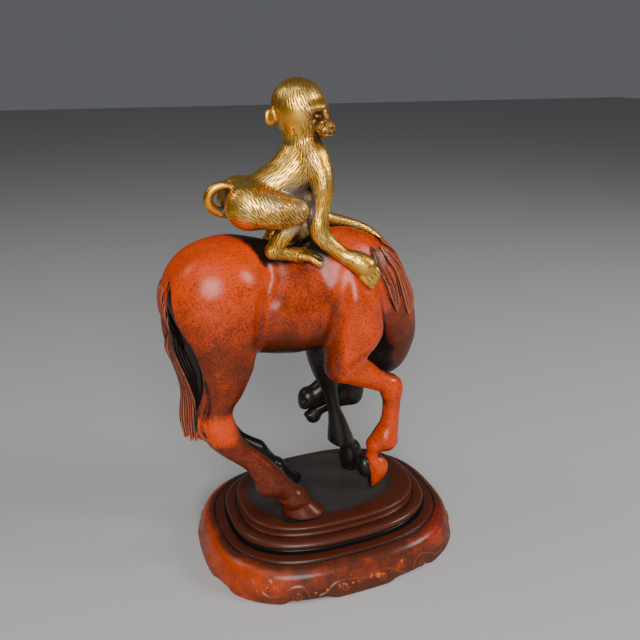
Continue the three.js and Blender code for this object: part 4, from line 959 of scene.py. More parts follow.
def stand_parts():
    """The stand's wall and its steps, which meet in the incised line. Each comes with its points, faces, and
    for each point how deep it lies in a groove, how sharp an edge it is, and how high its relief is."""
    # Equal steps along the outline, which equal angles would not give
    fine = np.linspace(0, 2 * math.pi, 20001)
    x, y = outline(fine, 0)
    length = np.concatenate([[0], np.cumsum(np.hypot(np.diff(x), np.diff(y)))])
    angle = np.interp(np.arange(AROUND) / AROUND * length[-1], length, fine)

    def from_middle(turn):
        """How far along the outline a turn from the middle of a long side leads."""
        return np.interp(turn + math.pi / 2, fine, length) - np.interp(math.pi / 2, fine, length)

    foot = foot_at(np.degrees(angle))
    profile = spline(np.array([[z, inset, n] for n, (z, inset) in enumerate(STAND_PROFILE)]), 8)
    seam = STAND_PROFILE.index(STAND_SEAM)
    wall = even(profile[profile[:, 2] <= seam], WALL_STEP)
    steps = even(profile[profile[:, 2] >= seam], TOP_STEP)
    # Each ring is how far in it lies and how high, at each angle, how deep in a groove and how sharp.
    none = np.zeros(AROUND)
    under = [(none + inset, none, 0, 0) for inset in UNDER_RINGS]
    under.append((1 - FOOT_DEPTH * foot, APRON_RISE * (1 - foot), 0, 0))
    top = [(none + inset, none + STAND_HEIGHT, 0, 0) for inset in TOP_RINGS]
    # A little higher up, the feet and the lift between them run out.
    rings = []
    section = np.vstack([wall, steps])
    for (height, inset, _), deep, sharp in zip(section, *hollowness(section[:, :2])):
        near = foot * max(0, 1 - height / 5)
        lift = APRON_RISE * (1 - foot) * 0.8 * max(0, 1 - height / 3)
        rings.append((inset - FOOT_DEPTH * near, height + lift, deep, sharp))
    along = from_middle(np.abs((angle % math.pi) - math.pi / 2))
    wall_rings, step_rings = under + rings[:len(wall)], rings[len(wall) - 1:] + top
    for name, chosen in (("stand_wall", wall_rings), ("stand_steps", step_rings)):
        points = np.vstack([np.column_stack([*outline(angle, inset), z]) for inset, z, _, _ in chosen])
        deep, sharp = (np.repeat([ring[k] for ring in chosen], AROUND) for k in (2, 3))
        relief = np.zeros(len(points))
        if name == "stand_wall":
            carved = (points[:, 2] < CARVED_TO) & (points[:, 2] > CARVED_FROM)
            carved[:len(under) * AROUND] = False
            places = np.tile(along, len(chosen))
            relief[carved] = curl_height(places[carved], points[carved, 2], from_middle)
            outward = unit(points * [1, 1.5, 0])
            ground = CURL_GROUND * carved * smooth(CARVED_TO, 7, points[:, 2])
            points += outward * (relief - ground)[:, None]
        a = np.arange(AROUND)
        b = (a + 1) % AROUND
        faces = [np.column_stack([a, b, b + AROUND, a + AROUND]) + r * AROUND for r in range(len(chosen) - 1)]
        # Its last ring closes the top, and its first ring the underside.
        i = np.arange(AROUND // 2 - 1)
        close = np.column_stack([i, i + 1, AROUND - 2 - i, AROUND - 1 - i])
        faces.append(close[:, ::-1] if name == "stand_wall" else close + (len(chosen) - 1) * AROUND)
        yield name, points, np.vstack(faces), deep, sharp, relief / CURL_HEIGHT


# Materials

# Colours of the patina, its grime and painted shade, its specks and its hollows, and of the ridges (with a
# painted highlight) and grooves of the hair
RED = (0.60, 0.050, 0.0004)
# Dark red of grime and of painted shade
GRIMY_AND_SHADED = (0.095, 0.014, 0.003)
SPECK = (0.05, 0.008, 0.002)
# Black of the patina, also painted as shade in hollows and folds
BLACK = (0.011, 0.007, 0.0055)
# Red of worn hair ridges, lightened as a painted highlight
HAIR_RIDGE = (0.42, 0.085, 0.035)
HAIR_GROOVE = (0.095, 0.018, 0.008)
# Colours of the gilding, pale in clouds and deep where it is smooth, and of its dirt and painted shade, bare
# metal and stains
GOLD = (0.92, 0.46, 0.045)
PALE_GOLD = (0.90, 0.56, 0.14)
DEEP_GOLD = (0.74, 0.30, 0.025)
# Dark of dirt and painted shade in the hollows
GOLD_DIRT_AND_SHADE = (0.035, 0.020, 0.010)
STROKE_DIRT = (0.06, 0.032, 0.012)
SILVER = (0.44, 0.41, 0.38)
RUST = (0.13, 0.035, 0.014)
OLIVE = (0.10, 0.055, 0.018)
# Colours of the lacquer, its specks, rubbed edges and hollows with painted shade, of its black top with
# dust, of the chips and of the sparks
LACQUER_DARK = (0.07, 0.015, 0.006)
LACQUER_RED = (0.46, 0.047, 0.004)
LACQUER_SPECK = (0.030, 0.006, 0.003)
RUBBED = (0.24, 0.045, 0.012)
# Black of dirt and painted shade in the grooves, and of the painted shadow under the figure
LACQUER_HOLLOW = (0.007, 0.006, 0.006)
LACQUER_BLACK = (0.040, 0.035, 0.032)
DUST = (0.35, 0.33, 0.30)
ORANGE = (0.52, 0.10, 0.012)
SPARK = (0.48, 0.010, 0.004)


class Finish:
    """A material's nodes, made a socket at a time."""

    def __init__(self, name):
        self.material = bpy.data.materials.new(name)
        self.material.use_nodes = True
        self.tree = self.material.node_tree
        self.shader = self.tree.nodes["Principled BSDF"]
        self.place = self.tree.nodes.new("ShaderNodeTexCoord").outputs["Object"]

    def put(self, socket, value):
        if isinstance(value, bpy.types.NodeSocket):
            self.tree.links.new(value, socket)
        elif value is not None:
            size = getattr(socket.default_value, "__len__", lambda: 0)()
            socket.default_value = (*value, 1) if size == 4 and len(value) == 3 else value

    def set(self, **values):
        for name, value in values.items():
            self.put(self.shader.inputs[name.replace("_", " ")], value)

    def noise(self, size, detail=2, roughness=0.5):
        """Values about 0.5 with features of a size in millimetres."""
        node = self.tree.nodes.new("ShaderNodeTexNoise")
        self.put(node.inputs["Vector"], self.place)
        self.put(node.inputs["Scale"], 1 / (size * MM))
        self.put(node.inputs["Detail"], detail)
        self.put(node.inputs["Roughness"], roughness)
        return node.outputs["Fac"]

    def marked(self, name):
        node = self.tree.nodes.new("ShaderNodeAttribute")
        node.attribute_name = name
        return node.outputs["Fac"]

    def math(self, how, a, b=None, c=None):
        node = self.tree.nodes.new("ShaderNodeMath")
        node.operation = how
        for socket, value in zip(node.inputs, (a, b, c)):
            self.put(socket, value)
        return node.outputs[0]

    def fade(self, value, low, high, start=0.0, end=1.0):
        """A smooth step from start where value is low to end where it is high."""
        node = self.tree.nodes.new("ShaderNodeMapRange")
        node.interpolation_type = "SMOOTHSTEP"
        for socket, given in zip(node.inputs, (value, low, high, start, end)):
            self.put(socket, given)
        return node.outputs[0]

    def times(self, a, b):
        return self.math("MULTIPLY", a, b)

    def most(self, a, b):
        return self.math("MAXIMUM", a, b)

    def broken(self, value, share, noise):
        """A value with a share of noise added, which breaks up the edges of what is made from it."""
        return self.math("MULTIPLY_ADD", self.math("SUBTRACT", noise, 0.5), share, value)

    def mix(self, share, a, b):
        node = self.tree.nodes.new("ShaderNodeMix")
        node.data_type = "RGBA"
        self.put(node.inputs["Factor"], share)
        self.put(node.inputs[6], a)
        self.put(node.inputs[7], b)
        return node.outputs[2]

    def bump(self, height, distance, strength):
        node = self.tree.nodes.new("ShaderNodeBump")
        self.put(node.inputs["Height"], height)
        self.put(node.inputs["Distance"], distance * MM)
        self.put(node.inputs["Strength"], strength)
        self.put(self.shader.inputs["Normal"], node.outputs[0])


def patina():
    f = Finish("red_patina")
    hollow, shade, grime_and_shade, groove, hair = map(f.marked, ("hollow", "shade", "grime_and_shade", "groove", "hair"))
    # The patina turns dark with grime and with painted shade: lower down, behind folds and on faces turned
    # down.
    cloud = f.broken(grime_and_shade, 1.2, f.noise(7, 4, 0.6))
    colour = f.mix(f.fade(cloud, -0.1, 1.3), RED, GRIMY_AND_SHADED)
    # Fine dark specks, thicker where the patina is grimy and where shade is painted
    grain = f.noise(0.62, 5, 0.7)
    level = f.math("SUBTRACT", grain, f.times(f.fade(cloud, -0.5, 1.0), 0.11))
    speck = f.fade(level, 0.33, 0.45, 1, 0)
    colour = f.mix(f.times(speck, 0.7), colour, SPECK)
    # Hair is dark with red ridges, worn and lightened as a painted highlight.
    ridge = f.broken(groove, 0.5, f.noise(1.2, 3, 0.6))
    colour = f.mix(hair, colour, f.mix(f.fade(ridge, 0.12, 0.55), HAIR_RIDGE, HAIR_GROOVE))
    # Hollows, shaded places and the grooves between hair strands are black, with a broken edge: partly black
    # patina and partly painted shade.
    dark = f.most(f.fade(hollow, 0.25, 0.8), f.most(shade, f.fade(groove, 0.3, 0.9)))
    edge = f.broken(dark, 1.1, f.noise(1.4, 4, 0.65))
    colour = f.mix(f.times(f.fade(edge, 0.15, 0.9), f.fade(dark, 0.0, 0.25)), colour, BLACK)
    f.set(Base_Color=colour, Roughness=0.6, Specular_IOR_Level=0.03, Coat_Weight=0.6, Coat_Roughness=0.27)
    f.bump(grain, 0.03, 0.2)
    return f.material


def gilding():
    f = Finish("gilding")
    hollow, groove, stain, silver, polished = map(f.marked, ("hollow", "groove", "stain", "silver", "smooth"))
    colour = f.mix(f.fade(f.noise(6, 3), 0.35, 0.65), GOLD, PALE_GOLD)
    colour = f.mix(f.times(polished, 0.6), colour, DEEP_GOLD)
    # Dirt and painted shade in the hollows, and dirt in the strokes
    dirt_and_shade = f.broken(f.fade(hollow, 0.12, 0.7), 0.7, f.noise(0.5, 2, 0.6))
    dirt_and_shade = f.times(f.fade(dirt_and_shade, 0.15, 0.9), f.fade(hollow, 0.1, 0.3))
    colour = f.mix(f.times(dirt_and_shade, 0.92), colour, GOLD_DIRT_AND_SHADE)
    stroke = f.fade(groove, 0.1, 0.55)
    colour = f.mix(f.times(stroke, 0.9), colour, STROKE_DIRT)
    # Worn to silver, and stained
    colour = f.mix(f.times(silver, 0.75), colour, SILVER)
    stained = f.times(stain, f.fade(f.noise(0.9, 4, 0.7), 0.3, 0.6))
    colour = f.mix(stained, colour, f.mix(f.fade(f.noise(1.6, 2), 0.4, 0.6), RUST, OLIVE))
    dull = f.most(dirt_and_shade, f.most(stained, f.times(stroke, 0.7)))
    f.set(Base_Color=colour, Metallic=f.math("MULTIPLY_ADD", dull, -0.3, 1.0),
          Roughness=f.math("MULTIPLY_ADD", dull, 0.2, 0.32))
    return f.material


def lacquer():
    f = Finish("lacquered_stand")
    names = ("hollow", "worn", "black", "chip", "ember", "glow")
    hollow, worn, black, chip, ember, glow = map(f.marked, names)
    cloud = f.broken(glow, 1.6, f.noise(8, 4, 0.6))
    colour = f.mix(f.fade(cloud, 0.0, 1.0), LACQUER_DARK, LACQUER_RED)
    grain = f.noise(0.55, 3, 0.6)
    speck = f.fade(grain, 0.34, 0.46, 1, 0)
    colour = f.mix(f.times(speck, 0.6), colour, LACQUER_SPECK)
    rubbed = f.fade(f.broken(worn, 0.9, grain), 0.35, 0.8)
    colour = f.mix(f.times(rubbed, 0.6), colour, RUBBED)
    # Hollows and the middle of the top are black, with a broken edge: dirt and painted shade in the grooves,
    # the painted shadow of the figure on the top, and black lacquer in its middle.
    dark = f.most(f.fade(hollow, 0.18, 0.42), black)
    edge = f.broken(dark, 1.2, f.noise(1.8, 3, 0.6))
    dark = f.times(f.fade(edge, 0.2, 0.85), f.fade(dark, 0.0, 0.2))
    colour = f.mix(dark, colour, f.mix(black, LACQUER_HOLLOW, LACQUER_BLACK))
    # Chips, sparks and dust
    flake = f.broken(chip, 1.8, f.noise(1.1, 3, 0.6))
    colour = f.mix(f.times(f.fade(flake, 0.62, 0.74), f.fade(chip, 0.05, 0.2)), colour, ORANGE)
    colour = f.mix(f.times(ember, f.fade(f.noise(0.5, 2, 0.5), 0.52, 0.58)), colour, SPARK)
    colour = f.mix(f.times(black, f.fade(f.noise(0.26, 1, 0.5), 0.75, 0.78)), colour, DUST)
    f.set(Base_Color=colour, Roughness=0.5, Specular_IOR_Level=0.08, Coat_Weight=0.5, Coat_Roughness=0.24)
    f.bump(grain, 0.04, 0.25)
    return f.material


# Strokes cut into the gilding

class Guide:
    """A line that the fur follows. turn is the angle from it to the strokes in degrees, wild is how far they
    stray from that, and depth is how deep they are."""

    def __init__(self, points, turn=0, depth=0.15, wild=8):
        curve = spline(points, 3)
        self.a, self.b = curve[:-1], curve[1:]
        self.turn, self.depth, self.wild = turn, depth, wild

    def near(self, points):
        """How far the points are from its surface, and its direction there."""
        best = np.full(len(points), FAR)
        way = np.zeros((len(points), 3))
        for a, b in zip(self.a, self.b):
            along = b[:3] - a[:3]
            t = np.clip((points - a[:3]) @ along / (along @ along), 0, 1)
            gap = np.linalg.norm(points - a[:3] - t[:, None] * along, axis=1) - a[3] - (b[3] - a[3]) * t
            closer = gap < best
            best = np.where(closer, gap, best)
            way[closer] = along / np.linalg.norm(along)
        return best, way


class Crown(Guide):
    """An egg with a point that the fur leaves on all sides."""

    def __init__(self, centre, radii, pole, turn=0, depth=0.15, wild=8):
        self.centre, self.radii, self.pole = np.array(centre), np.array(radii), np.array(pole)
        self.turn, self.depth, self.wild = turn, depth, wild

    def near(self, points):
        away = (points - self.centre) / self.radii
        return (np.linalg.norm(away, axis=1) - 1) * self.radii.min(), unit(points - self.pole)


def fur_guides():
    guides = [
        Guide([[-27, MONKEY_MIDDLE, 143, 7], *SPINE[1:]], depth=0.16),
        Crown(CRANIUM, CRANIUM_RADII, on_head(-2, 0, 9.5), depth=0.15, wild=14),
        Crown(on_head(0.5, 0, -4), CHEEK_RADII, on_head(-2, 0, 14), turn=8, depth=0.15),
        Guide(RIGHT_ARM, depth=0.12),
        Guide(LEFT_ARM[:-1], turn=30, depth=0.12),
    ]
    for side in (-1, 1):
        haunch, thigh, shin, sole, _ = monkey_leg(side)
        guides += [
            Crown(haunch, HAUNCH_RADII, [-29, MONKEY_MIDDLE + side * 12, 139], depth=0.12, wild=16),
            Guide([[-27, *thigh[0][1:]], *thigh[1:]], turn=side * 48, depth=0.2),
            Guide(shin, turn=10, depth=0.16),
            Guide([sole[0], sole[2]], turn=-20, depth=0.14),
        ]
    return guides


# Where the gilding is smooth, each as a place, a radius and how soft its edge is: the face, the cheeks, the
# ears, the right hand, the left hand and the tail
SMOOTH_PLACES = [
    (on_head(10, 0, -5), 5.5, 2.2), (on_head(8.5, 0, -2.5), 4, 1.6),
    (on_head(2.5, -8.5, -3.8), 3.8, 2.6), (on_head(2.5, 8.5, -3.8), 3.8, 2.6),
    (on_head(-5.2, -9.8, -4.2), 3.6, 0.8), (on_head(-5.2, 9.8, -4.2), 3.6, 0.8),
    ([8.6, -15.8, 118], 5.2, 1.5), ([24, 4, 121.5], 3, 1), ([-40, -3, 144], 6.5, 1.5),
]


def furry(points):
    """1 where the gilding has strokes and 0 where it is smooth."""
    out = np.ones(len(points))
    for centre, radius, edge in SMOOTH_PLACES:
        away = np.linalg.norm(points - np.array(centre), axis=1)
        out *= smooth(radius - edge, radius + edge, away)
    return out


def fur_flow(points, normals, chance):
    """The direction of the strokes at each point and how deep they are there."""
    guides = fur_guides()
    gaps, ways = zip(*[g.near(points) for g in guides])
    gaps = np.stack(gaps)
    weight = np.exp(-(gaps - gaps.min(0)) / FUR_BLEND)
    weight /= weight.sum(0)
    flow = np.zeros_like(points)
    for g, w, way in zip(guides, weight, ways):
        way = unit(way - normals * (way * normals).sum(1)[:, None])
        turn = np.radians(g.turn + g.wild * chance)[:, None]
        way = way * np.cos(turn) + np.cross(normals, way) * np.sin(turn)
        same = np.sign((flow * way).sum(1) + SMALL)[:, None]
        flow += way * same * w[:, None]
    depth = sum(w * g.depth for g, w in zip(guides, weight))
    return unit(flow), depth * furry(points)


def strokes(points, flow, depth, random):
    """Points spread over a surface so that no two strokes through them lie on each other."""
    order = random.permutation(np.flatnonzero(depth > SHALLOWEST))[:STROKE_TRIES]
    taken = {}
    seeds = []
    keys = np.floor(points / STROKE_LENGTH).astype(int)
    steps = [(i, j, k) for i in (-1, 0, 1) for j in (-1, 0, 1) for k in (-1, 0, 1)]

    def free(place, way, key):
        for i, j, k in steps:
            for other in taken.get((key[0] + i, key[1] + j, key[2] + k), ()):
                x, y, z = other[0] - place[0], other[1] - place[1], other[2] - place[2]
                along = x * way[0] + y * way[1] + z * way[2]
                across = x * x + y * y + z * z - along * along
                if along * along / (STROKE_LENGTH * STROKE_LENGTH) + across / (STROKE_GAP * STROKE_GAP) < 1:
                    return False
        return True

    for n in order:
        key = tuple(keys[n])
        if free(points[n], flow[n], key):
            taken.setdefault(key, []).append(points[n].tolist())
            seeds.append(n)
    return np.array(seeds)


def engraved(field, points, normals, depth, seeds, flow, random):
    """The points with a groove along each stroke, and how deep in a groove each point is."""
    steps = np.linspace(-1, 1, 17)
    half = STROKE_LENGTH * random.uniform(0.45, 0.75, len(seeds))
    lines = [field.settled(points[seeds] + flow[seeds] * (half * t)[:, None]) for t in steps]
    samples = np.stack(lines, 1).reshape(-1, 3)
    strength = (depth[seeds] * random.uniform(0.6, 1.15, len(seeds)))[:, None] * (1 - np.abs(steps) ** 3)
    tree = KDTree(len(samples))
    for n, place in enumerate(samples.tolist()):
        tree.insert(place, n)
    tree.balance()
    nearest = [tree.find(p)[1:] for p in points.tolist()]
    which, away = (np.array(values) for values in zip(*nearest))
    groove = strength.ravel()[which] * np.clip(1 - (away / STROKE_WIDTH) ** 2, 0, 1) ** 2
    return points - normals * groove[:, None], groove


# Building

def finished(name, mesh, node, material):
    """A mesh as a piece in the scene, which stands for a node of the frame and rides on its body."""
    mesh.shade_smooth()
    mesh.materials.append(material)
    piece = placed(name, mesh)
    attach(piece, "root")
    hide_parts(node)


def near_lines(points, lines, width):
    """1 on any of the lines and 0 away from them."""
    best = np.full(len(points), FAR)
    for line in lines:
        for a, b in zip(line, line[1:]):
            along = b - a
            t = np.clip((points - a) @ along / max(along @ along, SMALL), 0, 1)
            best = np.minimum(best, np.linalg.norm(points - a - t[:, None] * along, axis=1))
    return np.exp(-(best / width) ** 2)


def strand_marks(field, points):
    """How deep each point lies between strands, from the difference to a smoother copy of their surface."""
    soft = Field(Shape(), field.cell, field)
    soft.values = field.values.copy()
    soft.soften(1, max(2, round(STRAND_REACH / field.cell)))
    return smooth(0.13, -0.12, soft.at(points))


# Two folds of the horse as heights and, for each height, where the fold is: the neck's by how far to the
# right it is seen, and the flank's by X
NECK_FOLD = [64, 72, 78, 92, 104], [30.3, 27.4, 25.8, 23.2, 21]
FLANK_FOLD = [89, 100, 109, 114, 119, 125], [-30, -29.6, -28.6, -24.5, -22.4, -25.6]
# The painted shadow under the monkey's right foot, where it meets the horse's back
FOOT_SHADOW = [[-19, -11.5, 120, 5], [-12, -11, 119.5, 5], [-5, -11, 119.5, 5]]


def horse_shade(name, points, normals, crease_lines):
    """Where the horse is black, from 0 to 1, as black patina and as painted shade."""
    x, y, z = points.T
    # The inner sides of the legs, the belly, and the side of the head that looks to the legs
    middle = HORSE_MIDDLE + 2 * smooth(0, 20, x)
    inward = -normals[:, 1] * np.sign(y - middle)
    off_neck = 1 - smooth(16, 20, x) * smooth(-4, 0, y) * smooth(64, 68, z)
    legs = smooth(94, 80, z) * smooth(-0.1, 0.55, inward) * off_neck
    left_legs = smooth(90, 76, z) * smooth(2, 4, y) * smooth(34, 30, x) * smooth(0.75, 0.3, normals[:, 1])
    belly = smooth(-0.45, -0.9, normals[:, 2]) * smooth(80, 84, z)
    head_side = smooth(80, 70, z) * smooth(10, 14, y) * smooth(0.5, 0.1, normals[:, 1]) * smooth(34, 28, x)
    # Painted shade on the neck behind its fold, and black patina under the monkey
    across = seen(points)[0]
    fold = np.interp(z, *NECK_FOLD)
    neck_fold_shade = smooth(fold + 1.2, fold - 1, across) * smooth(-14, -9, y) * smooth(16, 18, x)
    neck_fold_shade = neck_fold_shade * smooth(56, 62, z) * smooth(112, 102, z)
    aside = np.abs(y - HORSE_MIDDLE)
    seat = smooth(-41, -34.5, x - 1.11 * aside) * smooth(3, -7, x) * smooth(118.6, 121.6, z)
    seat *= smooth(14, 10, aside)
    # Painted shadow under the monkey's right foot
    foot_shadow = patches(points, FOOT_SHADOW) * 0.6
    # Between haunch and tail
    beside = beside_tail(points)
    hollow = smooth(-0.12, 0.08, beside) * smooth(1.5, 0.95, beside) * smooth(-46, -49, x) * (y < 2)
    hollow *= smooth(119, 115, z) * smooth(62, 66, z)
    haunch_edge = smooth(-0.35, -0.85, normals[:, 0]) * smooth(106, 94, z) * smooth(-30, -40, x) * 0.5
    # Painted shade on the near front hoof behind its toe, and in the gap over it
    sole = smooth(37.5, 36, z) * (y < 0) * (x > 5) * smooth(15.3, 14.5, x - 0.14 * (34 - z))
    gap = smooth(35.6, 36.4, z) * smooth(39, 38, z) * (y < 0) * smooth(17.5, 19, x)
    gap = gap * smooth(23, 21.5, x) * 0.8
    shade = [legs, left_legs, belly, head_side, neck_fold_shade, seat, foot_shadow, hollow, haunch_edge, sole, gap]
    # Painted shade in the recess beside the mane's first lock and in the gap after it
    lock_shade_lines = [curve_through(edge[:5], 3) for edge in LOCKS[0][:2]]
    shade.append(near_lines(points, lock_shade_lines, 0.9) * 0.8)
    # Dirt and painted shade along the creases
    if name == "horse_body":
        shade += [near_lines(points, [line], width) * share for line, width, share in crease_lines]
    return np.max(shade, axis=0)


def horse_grime_and_shade(points, normals):
    """How worn and grimy the patina is, with shade painted in lower down, behind folds and on faces turned
    down, from 0 on the bright rump, knee and hock.
    """
    x, y, z = points.T
    hock = smooth(56, 61, z) * smooth(72, 68, z) * smooth(-38, -42, x)
    # The rump darkens downwards as painted shade.
    rump = smooth(-20, -27, x) * smooth(124, 88, z) * 0.9 * (1 - hock)
    # The legs darken with grime and with painted shade.
    leg = smooth(92, 78, z) * (1.0 - 0.95 * hock)
    # Painted shade on the flank behind its fold, deeper lower down.
    fold = np.interp(z, *FLANK_FOLD)
    flank = smooth(fold - 0.5, fold + 3, x) * smooth(1, -5, x) * (0.55 + 0.75 * smooth(108, 86, z))
    front = smooth(0, 6, x) * 0.2
    # Painted shade in the hollow behind the elbow.
    behind_elbow = smooth(3, -2, x) * smooth(-9, -3, x) * smooth(112, 104, z) * 0.8
    right_fore = smooth(-7, -2, x) * smooth(4, 0, y)
    # Painted shade down the neck, deeper lower down.
    neck = smooth(16, 22, x) * smooth(-10, -4, y) * (0.8 + 0.55 * smooth(92, 72, z))
    hooves = smooth(33, 30, z) * (1.25 - right_fore)
    # Painted shade on low faces turned down.
    under = smooth(-0.1, -0.8, normals[:, 2]) * smooth(70, 60, z) * 0.9
    return np.maximum.reduce([rump, flank, front, behind_elbow, neck, leg * (1 - right_fore), hooves, under])


def horse_field(quick):
    """The horse without its hair, and the lines of its creases with the dirt and painted shade in them."""
    field = Field(horse_shape(), QUICK_HORSE_CELL if quick else HORSE_CELL)
    field.soften(smooth(84, 92, field.axes[2][None, None, :]), 4 if quick else 7)
    crease_lines = []
    for path, radius, depth, blend, *dirt_and_shade in CREASES:
        part, line = crease(field, path, radius, depth, blend)
        field.add(part)
        crease_lines.append((line, *dirt_and_shade))
    field.add(tail_hollow())
    return field, crease_lines


def horse_piece(name, field, around, crease_lines, triangles, material):
    body = name == "horse_body"
    mesh = thinned(name, new_mesh(name, *surface(field)), triangles)
    points = points_of(mesh)
    normals = unit(field.slope(points))
    if body:
        # Over the trunk the shading follows wider slopes, which show nothing of the lattice.
        high = smooth(78, 90, points[:, 2])[:, None]
        normals = unit(normals * (1 - high) + unit(field.slope(points, TRUNK_SLOPE)) * high)
    finished(name, mesh, "horse", material)
    # Hollows of the horse and of the whole figure, blackened partly as painted shade
    mark(mesh, "hollow", hollow_at(field, around, points, normals, 0.4))
    mark(mesh, "groove", np.zeros(len(points)) if body else strand_marks(field, points))
    mark(mesh, "shade", horse_shade(name, points, normals, crease_lines))
    mark(mesh, "grime_and_shade", horse_grime_and_shade(points, normals))
    mark(mesh, "hair", np.full(len(points), not body, float))
    # Shading that follows the true shape and not the triangles
    mesh.normals_split_custom_set_from_vertices(normals.astype(np.float32))


# Where the gilding is stained, as spots and how strong the stain is: cheek, shin, shoulder, feet and toes
STAINS = [
    ([[-11.5, -10, 167, 2.4], [-9.5, -11, 168, 2], [-7.5, -11, 169, 3]], 0.1),
    ([[-20, -16, 138, 6], [-16, -15, 140, 5]], 0.8),
    ([[-10.4, -11.2, 156.8, 2.8]], 0.9),
    ([[-15, -8.4, 124, 6], [-21, -8.4, 126, 6], [-12, 4.4, 124, 6]], 0.85),
    ([[-6.5, -8.4, 121, 4.5], [-3.5, 4.4, 121, 4.5]], 1),
]
# Where it is worn to silver
WORN_SPOTS = [
    [-14, -8, 142, 10], [-10, -5, 134, 9], [-16, -11, 134.5, 6], [-24, -12, 142, 6], [-27, 6, 149, 9],
    [-38, -6, 141, 4],
]


def monkey_pieces(quick, around, material):
    """The monkey in two pieces that meet at a height, with its strokes."""
    field = Field(monkey_shape(), QUICK_CELL if quick else MONKEY_CELL)
    field.values = np.maximum(field.values, GAP - Field(horse_shape(), field.cell, field).values)
    points, faces = surface(field)
    normals = unit(field.slope(points))
    random = np.random.default_rng(11)
    flow, depth = fur_flow(points, normals, chaos(points / 2.2, 4))
    seeds = strokes(points, flow, depth, random)
    points, groove = engraved(field, points, normals, depth, seeds, flow, random)
    upper = points[faces].mean(1)[:, 2] > MONKEY_SEAM
    for name, chosen in (("monkey_upper", upper), ("monkey_lower", ~upper)):
        used, corners = np.unique(faces[chosen], return_inverse=True)
        place = points[used]
        mesh = new_mesh(name, place, corners.reshape(-1, 4))
        finished(name, mesh, "monkey", material)
        mark(mesh, "groove", groove[used] / STROKE_DEPTH)
        # Hollows of the monkey and of the whole figure, darkened with dirt and painted shade
        mark(mesh, "hollow", hollow_at(field, around, place, unit(field.slope(place)), 0.5))
        face = smooth(8.5, 5, np.linalg.norm(place - np.array(on_head(11.5, -1, -5.5)), axis=1))
        stains = [patches(place, spots) * share for spots, share in STAINS]
        mark(mesh, "stain", np.maximum.reduce([face, *stains]))
        mark(mesh, "silver", patches(place, WORN_SPOTS))
        mark(mesh, "smooth", 1 - furry(place))


def stand_pieces(around, material):
    for name, points, faces, deep, sharp, relief in stand_parts():
        mesh = new_mesh(name, points, faces)
        finished(name, mesh, "stand", material)
        x, y, z = points.T
        # The painted shadow of the figure on the top, and dirt and painted shade in the grooves
        shadow = 1 - openness(around, points + [0, 0, 0.4], np.array([0, 0, 1.0]), (1, 2, 4, 8))
        mark(mesh, "hollow", np.maximum(deep, 0.8 * shadow * (z > 20)))
        mark(mesh, "worn", np.maximum(smooth(0.15, 0.5, sharp), relief))
        inner = ((np.abs(x + 2) / 34) ** 2.4 + (np.abs(y - 2) / 24.5) ** 2.4) ** (1 / 2.4)
        mark(mesh, "black", smooth(1.0, 0.78, inner) * smooth(20.3, 20.8, z))
        mark(mesh, "chip", patches(points, CHIPS))
        mark(mesh, "ember", patches(points, EMBERS))
        # The drum glows red, most of all at its left, and the foot and the groove are darker.
        glow = (0.25 + smooth(-20, -45, x) * 0.5) * smooth(12.6, 11, z)
        mark(mesh, "glow", glow - 0.25 * smooth(6, 2, z) - 0.15 * smooth(12, 13, z))


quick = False
body, crease_lines = horse_field(quick)
mane, tail = mane_shape(body), tail_shape(body)

# Everything, which tells how open the space is round a place
everything = Shape()
everything.parts = horse_shape().parts + monkey_shape().parts + mane.parts + tail.parts
around = Field(everything, SPACE_CELL)
around.values = np.minimum(around.values, around.axes[2][None, None, :] - STAND_HEIGHT)

# The horse ends just over the stand.
body.values = np.maximum(body.values, STAND_HEIGHT + 0.05 - body.axes[2][None, None, :])
red = patina()
horse_piece("horse_body", body, around, crease_lines, HORSE_TRIANGLES, red)
for name, shape, triangles in (("horse_mane", mane, MANE_TRIANGLES), ("horse_tail", tail, TAIL_TRIANGLES)):
    hair = Field(shape, QUICK_CELL if quick else HAIR_CELL)
    horse_piece(name, hair, around, crease_lines, triangles, red)
monkey_pieces(quick, around, gilding())
stand_pieces(around, lacquer())


# Floor, lights and camera

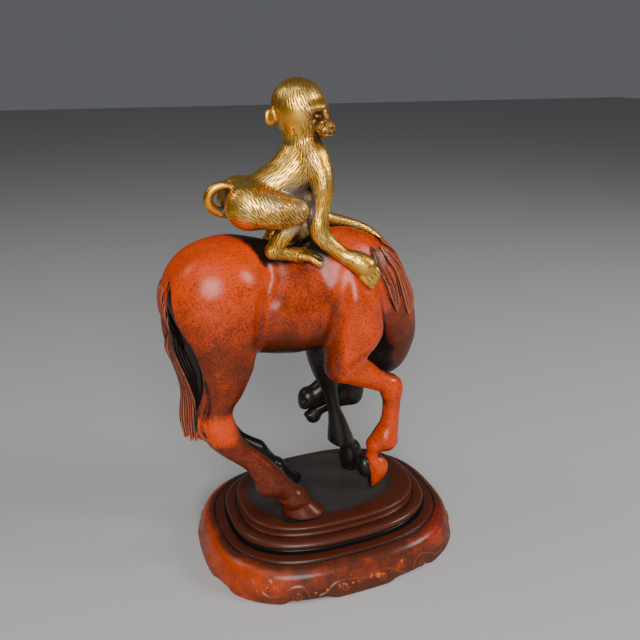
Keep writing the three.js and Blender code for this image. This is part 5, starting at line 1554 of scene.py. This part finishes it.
FLOOR_COLOUR = (0.48, 0.475, 0.465, 1)
SKY_COLOUR = (0.9, 0.93, 1, 1)
SKY_STRENGTH = 0.12
LIT_PLACE = Vector((0, 0, 0.09))
LIGHTS = [
    # name, the way to it from the lit place, distance, size and power
    ("key", (-0.26, -0.9, 0.40), 0.85, 0.5, 7.6),
    ("right", (0.8, -0.45, 0.5), 0.75, 0.26, 2.5),
    ("back", (-0.67, 0.2, 0.74), 0.75, 0.3, 0.7),
    ("upper", (-0.3, -0.5, 0.8), 0.8, 0.7, 1.6),
]
# The photo's camera: its place, how far it is turned from +Y and down, and its lens
CAMERA_PLACE = (-0.0892, -0.2242, 0.1853)
CAMERA_TURN = math.radians(-21.24)
CAMERA_PITCH = math.radians(20.72)
CAMERA_SENSOR = 36
CAMERA_LENS = 38.25

floor_mesh = bpy.data.meshes.new("floor")
floor_mesh.from_pydata([(-3, -3, 0), (3, -3, 0), (3, 3, 0), (-3, 3, 0)], [], [(0, 1, 2, 3)])
pale = bpy.data.materials.new("pale_floor")
pale.use_nodes = True
pale.node_tree.nodes["Principled BSDF"].inputs["Base Color"].default_value = FLOOR_COLOUR
pale.node_tree.nodes["Principled BSDF"].inputs["Roughness"].default_value = 0.7
floor_mesh.materials.append(pale)
floor = placed("floor", floor_mesh)

for name, direction, distance, size, power in LIGHTS:
    light = bpy.data.lights.new(name, "AREA")
    light.shape = "DISK"
    light.size = size
    light.energy = power
    lamp = placed(name, light)
    way = Vector(direction).normalized()
    lamp.location = LIT_PLACE + way * distance
    lamp.rotation_euler = way.to_track_quat("Z", "Y").to_euler()

world = bpy.data.worlds.new("soft")
world.use_nodes = True
world.node_tree.nodes["Background"].inputs["Color"].default_value = SKY_COLOUR
world.node_tree.nodes["Background"].inputs["Strength"].default_value = SKY_STRENGTH
bpy.context.scene.world = world

lens = bpy.data.cameras.new("camera")
lens.sensor_width = CAMERA_SENSOR
lens.lens = CAMERA_LENS
camera = placed("camera", lens)
right = Vector((math.cos(CAMERA_TURN), math.sin(CAMERA_TURN), 0))
level = math.cos(CAMERA_PITCH)
ahead = Vector((-math.sin(CAMERA_TURN) * level, math.cos(CAMERA_TURN) * level, -math.sin(CAMERA_PITCH)))
up = right.cross(ahead)
camera.matrix_world = Matrix.Translation(CAMERA_PLACE) @ Matrix((right, up, -ahead)).transposed().to_4x4()
bpy.context.scene.camera = camera
